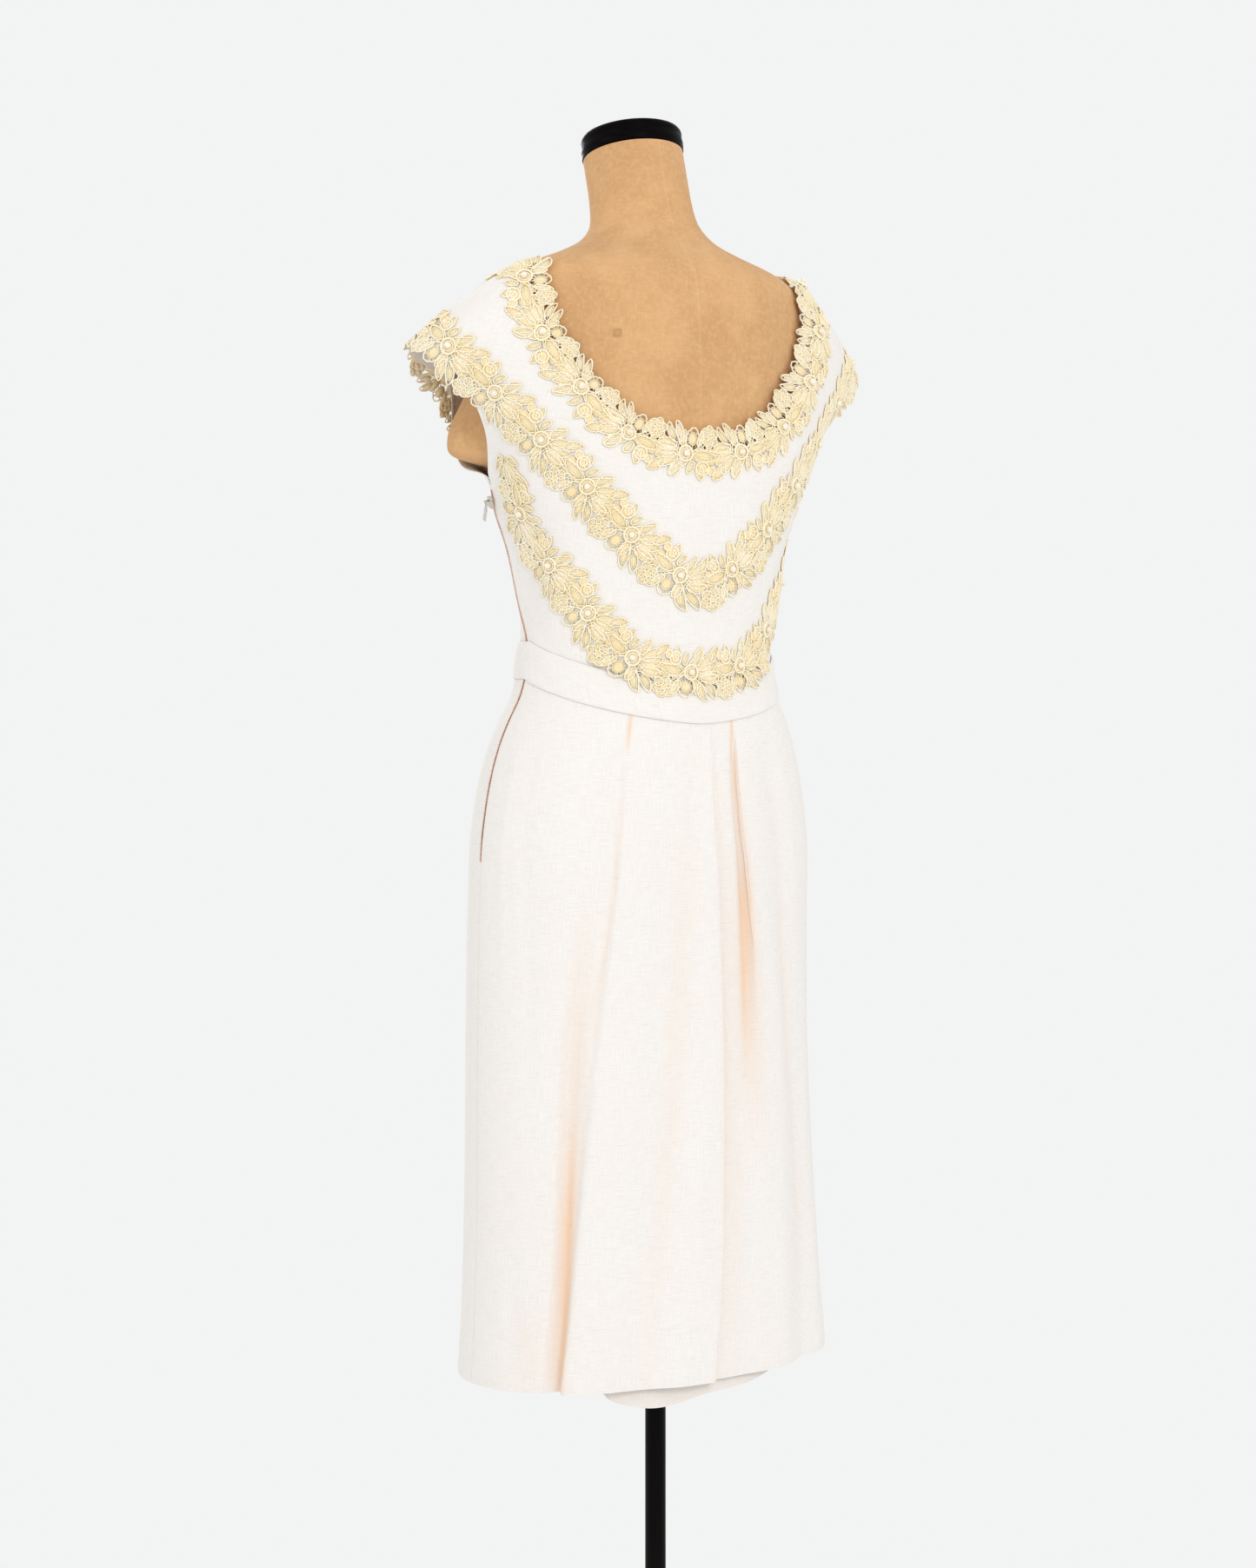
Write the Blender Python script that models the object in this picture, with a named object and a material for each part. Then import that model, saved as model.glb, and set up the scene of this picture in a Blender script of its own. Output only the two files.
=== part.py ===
"""Cocktail dress of slubby linen with three rows of guipure lace, on a limbless dress form.

Metres, +Z up, origin on the floor under the pole. The dress faces -Y, its back is +Y, and the
wearer's left side, where the zip is, is +X.
"""

import math

import bpy
import numpy as np
from mathutils import Vector
from mathutils.bvhtree import BVHTree

# Driving sizes
LINEN = 0.0016  # wall of the cloth
SEAM = 0.0003  # gap between two pieces that are sewn together
ZIP_GAP = 0.0026  # opening that the zip closes
BELT_LIFT = 0.0006  # belt's inner face above the cloth under it
BELT_HEIGHT = 0.034
WAIST_GAP = 0.0009  # between bodice and skirt, under the belt
LACE = 0.0014  # thickness of the lace
LACE_LIFT = 0.00055
HEM_Z = 0.4673
POLE_RADIUS = 0.0095
BASE_RADIUS = 0.170
BASE_HEIGHT = 0.012
FORM_BOTTOM_Z = 0.790
NECK_TOP_Z = 1.583
FORM_CLEAR = 0.0022  # form to the cloth's inner face, where it would come nearer
NECK_TILT = math.radians(12)
CAP_HEIGHT = 0.022
CAP_RADIUS = 0.0475

# Cloth below the bust: z, half width, centre y, depth to the back, depth to the front
BODY = np.array([
    (0.450, 0.1802, -0.0200, 0.1275, 0.1295),
    (0.540, 0.1745, -0.0225, 0.1235, 0.1270),
    (0.620, 0.1712, -0.0250, 0.1200, 0.1260),
    (0.700, 0.1690, -0.0280, 0.1185, 0.1250),
    (0.780, 0.1678, -0.0300, 0.1170, 0.1250),
    (0.860, 0.1672, -0.0290, 0.1160, 0.1255),
    (0.940, 0.1662, -0.0262, 0.1150, 0.1258),
    (0.980, 0.1618, -0.0258, 0.1145, 0.1235),
    (1.010, 0.1562, -0.0250, 0.1120, 0.1190),
    (1.040, 0.1480, -0.0230, 0.1075, 0.1120),
    (1.060, 0.1400, -0.0210, 0.1030, 0.1060),
    (1.080, 0.1305, -0.0195, 0.0985, 0.1010),
    (1.095, 0.1262, -0.0190, 0.0955, 0.0985),
    (1.115, 0.1232, -0.0180, 0.0935, 0.0975),
    (1.135, 0.1220, -0.0150, 0.0925, 0.0980),
    (1.165, 0.1255, -0.0140, 0.0925, 0.1010),
])

# Form, bottom to neck: z, half width, centre y, depth to the back, depth to the front
FORM = np.array([
    (0.790, 0.1420, -0.0280, 0.0900, 0.1000),
    (0.802, 0.1510, -0.0280, 0.0980, 0.1080),
    (0.860, 0.1555, -0.0280, 0.1010, 0.1140),
    (0.940, 0.1545, -0.0262, 0.1000, 0.1140),
    (1.000, 0.1460, -0.0255, 0.0970, 0.1090),
    (1.040, 0.1350, -0.0230, 0.0920, 0.1010),
    (1.070, 0.1225, -0.0200, 0.0860, 0.0910),
    (1.100, 0.1150, -0.0185, 0.0820, 0.0860),
    (1.130, 0.1140, -0.0160, 0.0810, 0.0870),
    (1.165, 0.1175, -0.0140, 0.0830, 0.0920),
    (1.212, 0.1265, -0.0165, 0.0900, 0.0960),
    (1.250, 0.1380, -0.0200, 0.0985, 0.0890),
    (1.277, 0.1465, -0.0260, 0.1065, 0.0830),
    (1.300, 0.1490, -0.0320, 0.1140, 0.0750),
    (1.330, 0.1510, -0.0350, 0.1170, 0.0650),
    (1.360, 0.1550, -0.0330, 0.1150, 0.0550),
    (1.400, 0.1640, -0.0240, 0.1040, 0.0490),
    (1.430, 0.1590, -0.0150, 0.0930, 0.0480),
    (1.450, 0.1510, -0.0080, 0.0830, 0.0460),
    (1.462, 0.1440, -0.0050, 0.0770, 0.0420),
    (1.474, 0.1240, -0.0060, 0.0700, 0.0410),
    (1.486, 0.0920, -0.0100, 0.0620, 0.0400),
    (1.500, 0.0640, -0.0170, 0.0550, 0.0410),
    (1.520, 0.0490, -0.0240, 0.0500, 0.0460),
    (1.550, 0.0465, -0.0320, 0.0475, 0.0465),
    (1.583, 0.0464, -0.0420, 0.0464, 0.0464),
])
STUB = {  # rounded end of the form's shoulder, which shows in the armhole
    "angle": math.radians(-20),
    "spread": math.radians(26),
    "z": 1.308,
    "below": 0.016,
    "above": 0.058,
    "reach": 0.041,
    "hand_set": 0.024,
}

STUB_LEVELS = (1.264, 1.277, 1.286, 1.292, 1.299, 1.308, 1.322, 1.345, 1.370, 1.400)

# Folds of the back skirt: the angle round the body and the height off it, at six levels.
# Angles are in degrees from the left side seam (0) over the centre back (90), heights in mm.
FOLD_LEVELS = (0.465, 0.600, 0.765, 0.900, 1.000, 1.062)
FOLDS = {
    "left_ridge": ((34, 38, 41, 43, 42, 40), (3, 3, 2.5, 2.5, 1.5, 0)),
    "left_valley": ((41, 43.2, 45.5, 55, 54, 50), (-6, -6, -5, -2, -1.5, 0)),
    "left_crest": ((42.6, 48.6, 56, 61.2, 62.2, 62), (9, 9, 7, 3.5, 2, 0.8)),
    "panel_left": ((55, 60, 66, 70, 72, 73), (6, 6, 5, 3, 2, 0.6)),
    "panel_trough": ((68.3, 73.5, 80.5, 83, 85, 86.5), (0, 0, 0, 0, -0.3, 0)),
    "panel_right": ((80, 86, 92, 92, 91, 91.8), (6, 6, 5.5, 4, 3, 0.8)),
    "centre_crest": ((89, 93.7, 96, 94.6, 92.4, 94.0), (6, 6, 5.5, 4.5, 3.5, 1)),
    "centre_foot": ((90, 94.7, 97, 95.6, 93.4, 95.0), (-3, -4, -4, -2.5, -1.5, -0.8)),
    "kick_foot": ((100, 103, 107.6, 105.2, 102, 104), (-3, -3, -4.5, -2.5, -1.5, -0.8)),
    "kick_crest": ((108, 112, 112.6, 106.6, 103, 105), (1, 1.5, 2.5, 4, 3, 1)),
    "right_ridge": ((116, 119, 121, 113, 111, 112), (3, 3, 3, 3, 2, 0.6)),
    "right_trough": ((129.5, 134, 131, 124, 120.5, 120), (-4, -4, -3, -2, -1.5, 0)),
    "right_side": ((142, 146, 146, 140, 136, 136), (3, 2, 1, 1, 0.8, 0)),
}
FOLD_SPLITS = (4, 2, 1, 2, 2, 2, 1, 1, 1, 1, 1, 2, 2, 3)  # columns in each space between folds
FRONT_FOLDS = {  # the front is plain: soft waves only, same columns as above
    "right_wave": ((205, 207, 209, 210, 210, 210), (2.5, 2, 1.5, 1, 0.5, 0)),
    "right_hollow": ((232, 231, 229, 228, 228, 228), (-2.5, -2, -1.5, -1, -0.5, 0)),
    "middle_wave": ((262, 263, 265, 266, 267, 268), (3, 2.5, 2, 1.2, 0.6, 0)),
    "left_hollow": ((294, 295, 297, 299, 300, 300), (-2.5, -2, -1.5, -1, -0.5, 0)),
    "left_wave": ((326, 327, 329, 330, 330, 330), (2.5, 2, 1.2, 0.8, 0.4, 0)),
}
FRONT_SPLITS = (2, 2, 3, 3, 3, 2)
SKIRT_LEVELS = (0.0, 0.09, 0.2, 0.32, 0.44, 0.55, 0.65, 0.74, 0.81, 0.87, 0.915, 0.95, 0.975, 1.0)

# Bodice: each row runs from the side (side seam, then armhole) to the centre line
TIP = (0.236, -0.036, 1.3935)
NECK_POINT = (0.149, 0.017, 1.468)
NECK_SHARE = 0.30  # share of a half row that the shoulder seam takes
BACK_ROWS = (  # side, quarter, panel, centre
    ((0.1245, -0.0350, 1.163), (0.1130, 0.0290, 1.160), (0.0620, 0.0670, 1.155), (0.0, 0.0790, 1.152)),
    ((0.1344, -0.0380, 1.212), (0.1190, 0.0320, 1.212), (0.0680, 0.0715, 1.205), (0.0, 0.0825, 1.200)),
    ((0.1472, -0.0380, 1.248), (0.1310, 0.0330, 1.248), (0.0730, 0.0730, 1.240), (0.0, 0.0850, 1.235)),
    ((0.1570, -0.0300, 1.277), (0.1430, 0.0340, 1.281), (0.0790, 0.0750, 1.268), (0.0, 0.0862, 1.260)),
    ((0.1756, -0.0010, 1.319), (0.1540, 0.0390, 1.322), (0.0880, 0.0757, 1.290), (0.0, 0.0867, 1.276)),
    ((0.2030, 0.0050, 1.3625), (0.1630, 0.0415, 1.368), (0.1000, 0.0735, 1.317), (0.0, 0.0868, 1.287)),
    ((0.2298, -0.0120, 1.386), (0.1680, 0.0350, 1.418), (0.1080, 0.0720, 1.335), (0.0, 0.0867, 1.2925)),
)
BACK_NECKLINE = (
    NECK_POINT,
    (0.1520, 0.0360, 1.435),
    (0.1470, 0.0500, 1.405),
    (0.1360, 0.0600, 1.383),
    (0.1147, 0.0700, 1.352),
    (0.0950, 0.0760, 1.331),
    (0.0740, 0.0805, 1.313),
    (0.0430, 0.0850, 1.302),
    (0.0, 0.0865, 1.2965),
)
FRONT_ROWS = (  # the two highest have five evenly spread points
    ((0.1245, -0.0350, 1.163), (0.1000, -0.0730, 1.163), (0.0600, -0.1070, 1.163), (0.0, -0.1180, 1.163)),
    ((0.1344, -0.0380, 1.212), (0.1060, -0.0850, 1.212), (0.0680, -0.1230, 1.212), (0.0, -0.1200, 1.212)),
    ((0.1472, -0.0380, 1.248), (0.1200, -0.0840, 1.248), (0.0720, -0.1215, 1.248), (0.0, -0.1190, 1.248)),
    ((0.1570, -0.0300, 1.277), (0.1310, -0.0800, 1.280), (0.0780, -0.1150, 1.276), (0.0, -0.1165, 1.274)),
    ((0.1630, -0.0730, 1.291), (0.1390, -0.0970, 1.302), (0.0850, -0.1160, 1.305), (0.0, -0.1155, 1.310)),
    ((0.1600, -0.0980, 1.322), (0.1450, -0.1060, 1.340), (0.0900, -0.1110, 1.343), (0.0, -0.1085, 1.340)),
    ((0.1720, -0.0820, 1.366), (0.1660, -0.0680, 1.400), (0.1420, -0.0860, 1.382), (0.0800, -0.1035, 1.358),
     (0.0, -0.1045, 1.351)),
    ((0.2120, -0.0620, 1.384), (0.1730, -0.0140, 1.447), (0.1580, -0.0500, 1.414), (0.0920, -0.0945, 1.371),
     (0.0, -0.1005, 1.362)),
)
FRONT_NECKLINE = (
    NECK_POINT,
    (0.1530, -0.0090, 1.455),
    (0.1500, -0.0340, 1.432),
    (0.1400, -0.0590, 1.410),
    (0.1200, -0.0780, 1.394),
    (0.0900, -0.0900, 1.381),
    (0.0450, -0.0960, 1.374),
    (0.0, -0.0978, 1.372),
)
HALF_COLUMNS = (0.0, 0.075, 0.15, 0.225, 0.30, 0.40, 0.51, 0.63, 0.75, 0.875, 1.0)
ROW_SPLITS = 2  # rows of faces between two rows of a bodice table
SEAM_LEVELS = 5  # bodice levels from the waist seam up to the underarm
WAIST_SEAM_ANGLES = (0.0, math.radians(-6))  # side seam at the waist seam and just above the belt

# Middle lines of the lace rows on the left half, from the outer end to the centre
MID_BACK = (
    (0.2175, -0.0230, 1.4064), (0.1970, 0.0120, 1.3720), (0.1710, 0.0340, 1.3350),
    (0.1400, 0.0570, 1.2970), (0.1005, 0.0740, 1.2545), (0.0580, 0.0805, 1.2140),
    (0.0200, 0.0830, 1.1880), (0.0, 0.0835, 1.1830),
)
MID_FRONT = (
    (0.2175, -0.0230, 1.4064), (0.1980, -0.0640, 1.3900), (0.1660, -0.0850, 1.3650),
    (0.1280, -0.1040, 1.3240), (0.0920, -0.1140, 1.2730), (0.0560, -0.1200, 1.2290),
    (0.0200, -0.1200, 1.1970), (0.0, -0.1190, 1.1910),
)
LOW_BACK = (
    (0.1640, 0.0080, 1.2980), (0.1540, 0.0060, 1.2700), (0.1290, 0.0030, 1.2230),
    (0.1120, 0.0340, 1.1820), (0.0870, 0.0580, 1.1370), (0.0640, 0.0700, 1.1150),
    (0.0320, 0.0770, 1.1045), (0.0, 0.0780, 1.1020),
)
LOW_FRONT = (
    (0.1060, -0.0930, 1.2350), (0.0980, -0.0930, 1.2050), (0.0880, -0.0920, 1.1700),
    (0.0720, -0.1010, 1.1400), (0.0480, -0.1120, 1.1230), (0.0240, -0.1175, 1.1165),
    (0.0, -0.1190, 1.1150),
)
LEAF_PLACES = (0.0, 0.15, 0.31, 0.45, 0.60, 0.80)  # stations within one repeat of the lace
LEAF_OUTER = (0.021, 0.027, 0.0235, 0.0275, 0.021, 0.028)
LEAF_INNER = (0.020, 0.026, 0.0275, 0.022, 0.0265, 0.023)
STAND_INNER = (0.014, 0.022, 0.0275, 0.0255, 0.018, 0.0275)
NECK_HOLES = (2, 4)  # stations after which a gap is cut through the standing half
HOLE_LOW, HOLE_HIGH = 0.0040, 0.0120
LINE_WIDTH = 0.009
LACE_END = 0.0004  # from the end of a strip to the shoulder seam
NORMAL_REACH = 0.012  # patch over which the lace averages the cloth's normal
BODY_MIDDLE = Vector((0.0, -0.02, 1.25))
CAP_DROOP = 0.6  # how far lace past the cap's edge turns down
CAP_LOW = 1.330  # height in the armhole from which it does

# Zip
ZIP_END_Z = 0.930
ZIP_TOP_Z = 1.272
ZIP_TAPE_WIDTH = 0.018
ZIP_TAPE = 0.0008
TAPE_GAP = 0.0009
SLIDER_LIFT = 0.0006  # slider's back above the seam
SLIDER_SHARE = 0.86  # place of the slider between the waist seam and the underarm
SLIDER_SIZE = (0.0070, 0.0100, 0.0028)  # across, along and out of the zip
PIN_RADIUS = 0.00065
PIN_HEIGHT = 0.0024  # pin's axis above the slider's face
PULL_BORE = 0.00100
PULL_BARREL = 0.0018
PULL_LENGTH = 0.0165
PULL_WIDTH = 0.0048
PULL_NECK = 0.0013, 0.0060  # narrow part between the barrel and the plate, from the pin's axis
PULL_PLATE = 0.0055  # start of the plate, from the pin's axis
PULL_THICKNESS = 0.0012
BARREL_WIDTH = 0.0030
LUG = 0.0010
LUG_HALF = 0.0016  # half a lug's length along the zip
LUG_TOP = 0.0012  # above the pin's axis
LUG_SUNK = 0.0005  # into the slider
PIN_PLACE = 0.1  # of the slider's half length, up from its middle


def clear_scene():
    for obj in list(bpy.data.objects):
        bpy.data.objects.remove(obj, do_unlink=True)


def material(name, colour, roughness, metallic=0.0):
    made = bpy.data.materials.new(name)
    made.use_nodes = True
    shader = made.node_tree.nodes["Principled BSDF"]
    shader.inputs["Base Color"].default_value = (*colour, 1.0)
    shader.inputs["Roughness"].default_value = roughness
    shader.inputs["Metallic"].default_value = metallic
    made.diffuse_color = (*colour, 1.0)
    return made


def smooth_curve(knots, values, at):
    """Values of the monotone cubic through the knots, at the places in at."""
    knots = np.asarray(knots, float)
    values = np.asarray(values, float)
    at = np.asarray(at, float)
    step = np.diff(knots)
    slope = np.diff(values) / step
    tangent = np.empty(len(knots))
    tangent[0], tangent[-1] = slope[0], slope[-1]
    for i in range(1, len(step)):
        if slope[i - 1] * slope[i] <= 0:
            tangent[i] = 0.0
            continue
        before = 2 * step[i] + step[i - 1]
        after = step[i] + 2 * step[i - 1]
        tangent[i] = (before + after) / (before / slope[i - 1] + after / slope[i])
    i = np.clip(np.searchsorted(knots, at, side="right") - 1, 0, len(step) - 1)
    u = np.clip((at - knots[i]) / step[i], 0.0, 1.0)
    rise = 3 * u**2 - 2 * u**3
    leave = (u - 2 * u**2 + u**3) * step[i] * tangent[i]
    arrive = (u**3 - u**2) * step[i] * tangent[i + 1]
    return values[i] * (1 - rise) + values[i + 1] * rise + leave + arrive


def cubic(a, b, c, d, u):
    """Point at u between b and c of the cubic that runs through a, b, c and d."""
    return 0.5 * (2 * b + (c - a) * u + (2 * a - 5 * b + 4 * c - d) * u**2 + (3 * b - a - 3 * c + d) * u**3)


def spline(points, shares, closed=False):
    """Points of the cubic through the given ones, at shares 0 to 1 of its length."""
    points = np.asarray(points, float)
    if closed:
        points = np.vstack([points[-1:], points, points[:2]])
    else:
        points = np.vstack([2 * points[0] - points[1], points, 2 * points[-1] - points[-2]])
    fine = []
    for a, b, c, d in zip(points[:-3], points[1:-2], points[2:-1], points[3:]):
        for u in np.linspace(0, 1, 24, endpoint=False):
            fine.append(cubic(a, b, c, d, u))
    fine.append(points[-2])
    fine = np.array(fine)
    length = np.concatenate([[0], np.cumsum(np.linalg.norm(np.diff(fine, axis=0), axis=1))])
    at = np.asarray(shares, float) * length[-1]
    return np.stack([np.interp(at, length, fine[:, k]) for k in range(3)], axis=-1), length[-1]


def row_spline(points, at):
    """Cubic through a row's points, evenly spaced in the parameter, read at 0 to 1."""
    points = np.asarray(points, float)
    last = len(points) - 1
    padded = np.vstack([2 * points[0] - points[1], points, 2 * points[-1] - points[-2]])
    out = []
    for share in at:
        i = min(int(share * last), last - 1)
        u = share * last - i
        a, b, c, d = padded[i : i + 4]
        out.append(cubic(a, b, c, d, u))
    return np.array(out)


def section(table, z):
    """Half width, centre, back and front depth at the heights z."""
    return [smooth_curve(table[:, 0], table[:, k], z) for k in range(1, 5)]


def ring(table, angle, z):
    """Points round the body at the given angles and heights, and their outward directions."""
    half_width, centre, back, front = section(table, z)
    depth = np.where(np.sin(angle) >= 0, back, front)
    points = np.stack([half_width * np.cos(angle), centre + depth * np.sin(angle), z + 0 * angle], axis=-1)
    out = np.stack([np.cos(angle) / half_width, np.sin(angle) / depth, 0 * angle], axis=-1)
    return points, out / np.linalg.norm(out, axis=-1, keepdims=True)


def belt_bottom(angle):
    """Height of the belt's lower edge, which dips at the centre back."""
    lift = np.where(np.sin(angle) > 0, 1 - np.clip(np.sin(angle), 0, 1), 1.0)
    return 1.0560 + 0.0405 * lift**0.75


def hem_height(angle):
    """Hem, a little higher on the wearer's right."""
    return HEM_Z + 0.0035 - 0.0060 * np.cos(angle)


def mesh_object(name, points, faces, look, smooth=True):
    mesh = bpy.data.meshes.new(name)
    mesh.from_pydata([tuple(map(float, p)) for p in points], [], [tuple(map(int, f)) for f in faces])
    mesh.update()
    made = bpy.data.objects.new(name, mesh)
    bpy.context.scene.collection.objects.link(made)
    mesh.materials.append(look)
    if smooth:
        mesh.polygons.foreach_set("use_smooth", [True] * len(mesh.polygons))
        mesh.set_sharp_from_angle(angle=math.radians(40))
    return made


def volume(points, faces):
    total = 0.0
    for face in faces:
        a = points[face[0]]
        for i in range(1, len(face) - 1):
            total += np.dot(a, np.cross(points[face[i]], points[face[i + 1]]))
    return total


def wall(name, outer, inner, look, closed=False, present=None):
    """Closed wall between two grids of points; cells that aren't present are cut through."""
    rows, columns = outer.shape[:2]
    cells_across = columns if closed else columns - 1
    if present is None:
        present = np.ones((rows - 1, cells_across), bool)
    points = np.concatenate([outer.reshape(-1, 3), inner.reshape(-1, 3)])
    shift = rows * columns
    outside = []
    edges = {}
    for i in range(rows - 1):
        for j in range(cells_across):
            if not present[i, j]:
                continue
            k = (j + 1) % columns
            quad = (i * columns + j, i * columns + k, (i + 1) * columns + k, (i + 1) * columns + j)
            outside.append(quad)
            for a, b in zip(quad, quad[1:] + quad[:1]):
                edges[(a, b)] = True
    inside = [tuple(shift + p for p in reversed(quad)) for quad in outside]
    rims = [(b, a, shift + a, shift + b) for a, b in edges if (b, a) not in edges]
    used = np.zeros(len(points), bool)
    used[np.array(outside + inside)] = True
    number = np.cumsum(used) - 1
    faces = [tuple(number[p] for p in face) for face in outside + inside + rims]
    points = points[used]
    if volume(points, faces) < 0:
        faces = [tuple(reversed(face)) for face in faces]
    return mesh_object(name, points, faces, look)


def stack(name, rings, look):
    """Closed solid through rings of points, with flat ends."""
    rows, columns = rings.shape[:2]
    points = rings.reshape(-1, 3)
    faces = [tuple(range(columns)), tuple((rows - 1) * columns + j for j in reversed(range(columns)))]
    for i in range(rows - 1):
        for j in range(columns):
            k = (j + 1) % columns
            faces.append((i * columns + j, (i + 1) * columns + j, (i + 1) * columns + k, i * columns + k))
    if volume(points, faces) < 0:
        faces = [tuple(reversed(face)) for face in faces]
    return mesh_object(name, points, faces, look)


def disc_rings(profile, centre, tilt=0.0, sides=32):
    """Rings of a turned piece from its (radius, height) profile, leaning back by tilt about X."""
    angle = np.linspace(0, 2 * math.pi, sides, endpoint=False)
    rings = []
    for radius, height in profile:
        y = radius * np.sin(angle)
        points = np.stack([radius * np.cos(angle), y * math.cos(tilt) - height * math.sin(tilt) + centre[1],
                           centre[2] + height * math.cos(tilt) + y * math.sin(tilt)], axis=-1)
        rings.append(points + np.array([centre[0], 0, 0]))
    return np.array(rings)


def form_points(angle, z):
    """Form surface with its shoulder stubs and the leaning top of its neck."""
    points, _ = ring(FORM, angle, z)
    height = z - STUB["z"]
    under = np.exp(-((height / STUB["below"]) ** 4))
    over = np.exp(-((height / STUB["above"]) ** 2))
    fall = np.where(height < 0, under, over)
    side = np.where(np.cos(angle) >= 0, 1.0, -1.0)
    from_side = np.arctan2(np.sin(angle), np.abs(np.cos(angle)))
    push = STUB["reach"] * fall * np.exp(-(((from_side - STUB["angle"]) / STUB["spread"]) ** 2))
    points[..., 0] += 0.97 * side * push
    points[..., 1] -= 0.24 * push
    lean = math.tan(NECK_TILT) * np.clip((z - 1.500) / (NECK_TOP_Z - 1.500), 0, 1)
    _, centre, _, _ = section(FORM, z)
    points[..., 2] += lean * (points[..., 1] - centre)
    return points


def draw_in(rings):
    """Move the form's points in where they come nearer than FORM_CLEAR to the bodice's inner face."""
    back, _, front, _ = bodice_grids()
    trees = [BVHTree.FromPolygons([Vector(p) for p in grid.reshape(-1, 3)], grid_faces(*grid.shape[:2]))
             for grid in (back, front)]
    apart = np.abs(rings[:, 0, 2] - STUB["z"]) > STUB["hand_set"]
    clear_of_stubs = rings[apart]
    for _ in range(4):
        for point in clear_of_stubs.reshape(-1, 3):
            for tree in trees:
                near, normal, _, distance = tree.find_nearest(Vector(point), 0.020)
                if near is None:
                    continue
                if normal.dot(near - BODY_MIDDLE) < 0:
                    normal = -normal
                over = (Vector(point) - near).dot(normal)
                sideways = math.sqrt(max(distance * distance - over * over, 0.0))
                excess = over + LINEN + FORM_CLEAR
                if 0 < excess < 0.010 and sideways < 0.0015:
                    point -= np.array(normal) * excess
    rings[apart] = clear_of_stubs
    return rings


def build_form(canvas, black):
    angle = np.linspace(0, 2 * math.pi, 40, endpoint=False)
    levels = np.concatenate([FORM[:12, 0], STUB_LEVELS, FORM[17:, 0]])
    rings = np.array([form_points(angle, np.full(len(angle), z)) for z in levels])
    stack("form_torso", draw_in(rings), canvas)
    top = (0.0, FORM[-1, 2], NECK_TOP_Z + SEAM)
    profile = ((CAP_RADIUS, 0), (CAP_RADIUS, CAP_HEIGHT - 0.004), (CAP_RADIUS - 0.002, CAP_HEIGHT - 0.001),
               (CAP_RADIUS - 0.006, CAP_HEIGHT), (0.012, CAP_HEIGHT + 0.0015))
    stack("neck_cap", disc_rings(profile, top, NECK_TILT), black)
    flange = ((0.034, -0.008), (0.036, -0.006), (0.036, 0.0))
    stack("stand_flange", disc_rings(flange, (0, 0, FORM_BOTTOM_Z - SEAM), sides=28), black)
    pole_top = FORM_BOTTOM_Z - SEAM - 0.008 - SEAM
    pole = ((POLE_RADIUS, 0), (POLE_RADIUS, pole_top - BASE_HEIGHT - SEAM))
    stack("stand_pole", disc_rings(pole, (0, 0, BASE_HEIGHT + SEAM), sides=24), black)
    base = ((BASE_RADIUS - 0.001, 0), (BASE_RADIUS, 0.002), (BASE_RADIUS, 0.006),
            (BASE_RADIUS - 0.003, 0.0085), (0.060, 0.0105), (0.024, BASE_HEIGHT))
    stack("stand_base", disc_rings(base, (0, 0, 0), sides=40), black)


def fold_columns(folds, splits, first, last, z):
    """Angles and heights off the body of every column of a skirt panel, at the heights z."""
    level = np.clip(z, FOLD_LEVELS[0], FOLD_LEVELS[-1])
    angles = [first + 0 * z]
    heights = [0 * z]
    for angle_row, height_row in folds.values():
        angles.append(smooth_curve(FOLD_LEVELS, np.radians(angle_row), level))
        heights.append(smooth_curve(FOLD_LEVELS, np.array(height_row) / 1000, level))
    angles.append(last + 0 * z)
    heights.append(0 * z)
    angles, heights = np.stack(angles, 1), np.stack(heights, 1)
    shares = np.concatenate([i + np.arange(n) / n for i, n in enumerate(splits)] + [[len(splits)]])
    whole = np.arange(angles.shape[1], dtype=float)
    all_angles = np.array([np.interp(shares, whole, row) for row in angles])
    all_heights = np.array([smooth_curve(row, h, a) for row, h, a in zip(angles, heights, all_angles)])
    return all_angles, all_heights


def section_normals(points, first, last):
    """Outward directions across a horizontal section, stretched so that the wall keeps its thickness."""
    step = np.diff(points[:, :2], axis=0)
    side = np.stack([step[:, 1], -step[:, 0]], 1)
    side /= np.linalg.norm(side, axis=1, keepdims=True)
    out = np.zeros((len(points), 3))
    middle = side[:-1] + side[1:]
    middle /= np.linalg.norm(middle, axis=1, keepdims=True)
    stretch = 1 / np.maximum((middle * side[1:]).sum(1), 0.6)
    out[1:-1, :2] = middle * stretch[:, None]
    out[0], out[-1] = first, last
    return out


def skirt_grid(folds, splits, first, last):
    """Outer and inner points of a skirt panel between two side seams, waist seam to hem."""
    rows_outer, rows_inner = [], []
    count = sum(splits) + 1
    for share in SKIRT_LEVELS:
        angle = np.linspace(first, last, count)
        for _ in range(3):
            top = belt_bottom(angle) + BELT_HEIGHT / 2 - WAIST_GAP / 2
            z = hem_height(angle) + (top - hem_height(angle)) * share
            grid, lift = fold_columns(folds, splits, first, last, z)
            angle = np.diagonal(grid).copy()
            height = np.diagonal(lift).copy()
        fade = np.clip((belt_bottom(angle) - z) / 0.030, 0, 1)
        points, out = ring(BODY, angle, z)
        outer = points + out * (height * fade)[:, None]
        normals = section_normals(outer, out[0], out[-1])
        rows_outer.append(outer)
        rows_inner.append(outer - normals * LINEN)
    return np.array(rows_outer), np.array(rows_inner)


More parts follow.
